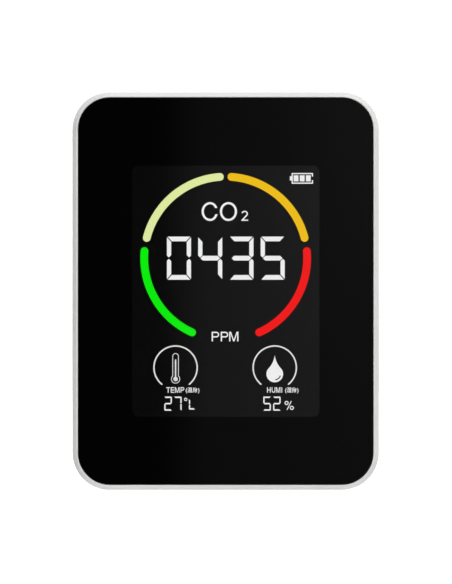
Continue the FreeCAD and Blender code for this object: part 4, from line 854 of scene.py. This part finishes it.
def card_light(s):
    """The bounce card's light on the floor."""
    aside = s.calc("ABSOLUTE", s.along(X_AXIS))
    start, end = CARD_WIDTH * CARD_FADE_START, CARD_WIDTH * CARD_FADE_END
    beside = s.ramp(aside, start, end, CARD_GLOW, 0.0)
    return s.calc("MULTIPLY", beside, s.ramp(s.along(Y_AXIS), -CARD_LENGTH, 0.0))


def seen_glow(s):
    """The floor's own glow to the camera: more with distance, and all white in low views."""
    distance = s.add("VectorMath", {0: s.place}, operation="LENGTH").outputs["Value"]
    near = s.ramp(distance, FAR_GLOW_START, FAR_GLOW_END, FLOOR_GLOW, FLOOR_FAR_GLOW)
    view = s.add("SeparateXYZ", {0: s.add("NewGeometry").outputs["Incoming"]}).outputs[Z_AXIS]
    level = s.ramp(view, LOW_VIEW, HIGH_VIEW, FLOOR_FAR_GLOW, 0.0)
    return s.calc("MAXIMUM", near, level)


def floor_material():
    """Pale matt floor, nearly white to the camera, with a soft bounce card before the monitor."""
    s = Surface("floor_pale")
    seen = s.add("LightPath").outputs["Is Camera Ray"]
    cloud = s.mix(s.noise(FLOOR_CLOUD), FLOOR_BOUNCE, shade(FLOOR_BOUNCE, 0.98))
    s.set(Base_Color=s.mix(seen, cloud, FLOOR_SEEN), Roughness=0.9, Specular_IOR_Level=0.0)
    hidden = s.calc("MULTIPLY", s.calc("SUBTRACT", 1.0, seen), card_light(s))
    glow = s.calc("ADD", s.calc("MULTIPLY", seen, seen_glow(s)), hidden)
    s.set(Emission_Color=(1, 1, 1, 1), Emission_Strength=glow)
    return s.material


def lay_floor():
    """A wide round floor at z = 0."""
    shape = bmesh.new()
    bmesh.ops.create_circle(shape, cap_ends=True, segments=FLOOR_SIDES, radius=FLOOR_RADIUS)
    mesh = bpy.data.meshes.new("floor")
    shape.to_mesh(mesh)
    shape.free()
    mesh.materials.append(floor_material())
    floor = bpy.data.objects.new("floor", mesh)
    bpy.context.scene.collection.objects.link(floor)
    floor.visible_glossy = False
    floor.visible_transmission = False


# ---------------------------------------------------------------- camera

CAMERA_DISTANCE = 1.6
CAMERA_X = 0.1 * MM
CAMERA_Z = 58.75 * MM
PICTURE_HEIGHT = 173.3 * MM
SENSOR = 36.0
NEAR_CLIP, FAR_CLIP = 0.05, 20.0


def place_camera(front):
    """Square on to the front, far enough away to flatten the perspective."""
    data = bpy.data.cameras.new("camera")
    data.sensor_width = SENSOR
    data.lens = SENSOR * (CAMERA_DISTANCE + front) / PICTURE_HEIGHT
    data.clip_start, data.clip_end = NEAR_CLIP, FAR_CLIP
    camera = bpy.data.objects.new("camera", data)
    camera.location = (CAMERA_X, -CAMERA_DISTANCE, CAMERA_Z)
    camera.rotation_euler = (math.radians(90), 0, 0)
    bpy.context.scene.collection.objects.link(camera)
    bpy.context.scene.camera = camera


# ---------------------------------------------------------------- scene

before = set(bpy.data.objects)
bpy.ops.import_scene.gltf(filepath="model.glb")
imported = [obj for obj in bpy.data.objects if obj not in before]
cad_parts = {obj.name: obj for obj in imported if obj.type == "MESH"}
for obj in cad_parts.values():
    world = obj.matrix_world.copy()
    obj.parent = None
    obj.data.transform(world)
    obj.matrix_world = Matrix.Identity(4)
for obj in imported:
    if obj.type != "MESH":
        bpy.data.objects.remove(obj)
cad_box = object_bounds()
print_words(finish_nodes(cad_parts))
studio_world()
hang_lamps()
lay_floor()
place_camera(cad_box[0].y)
bpy.context.scene.view_settings.view_transform = "Standard"
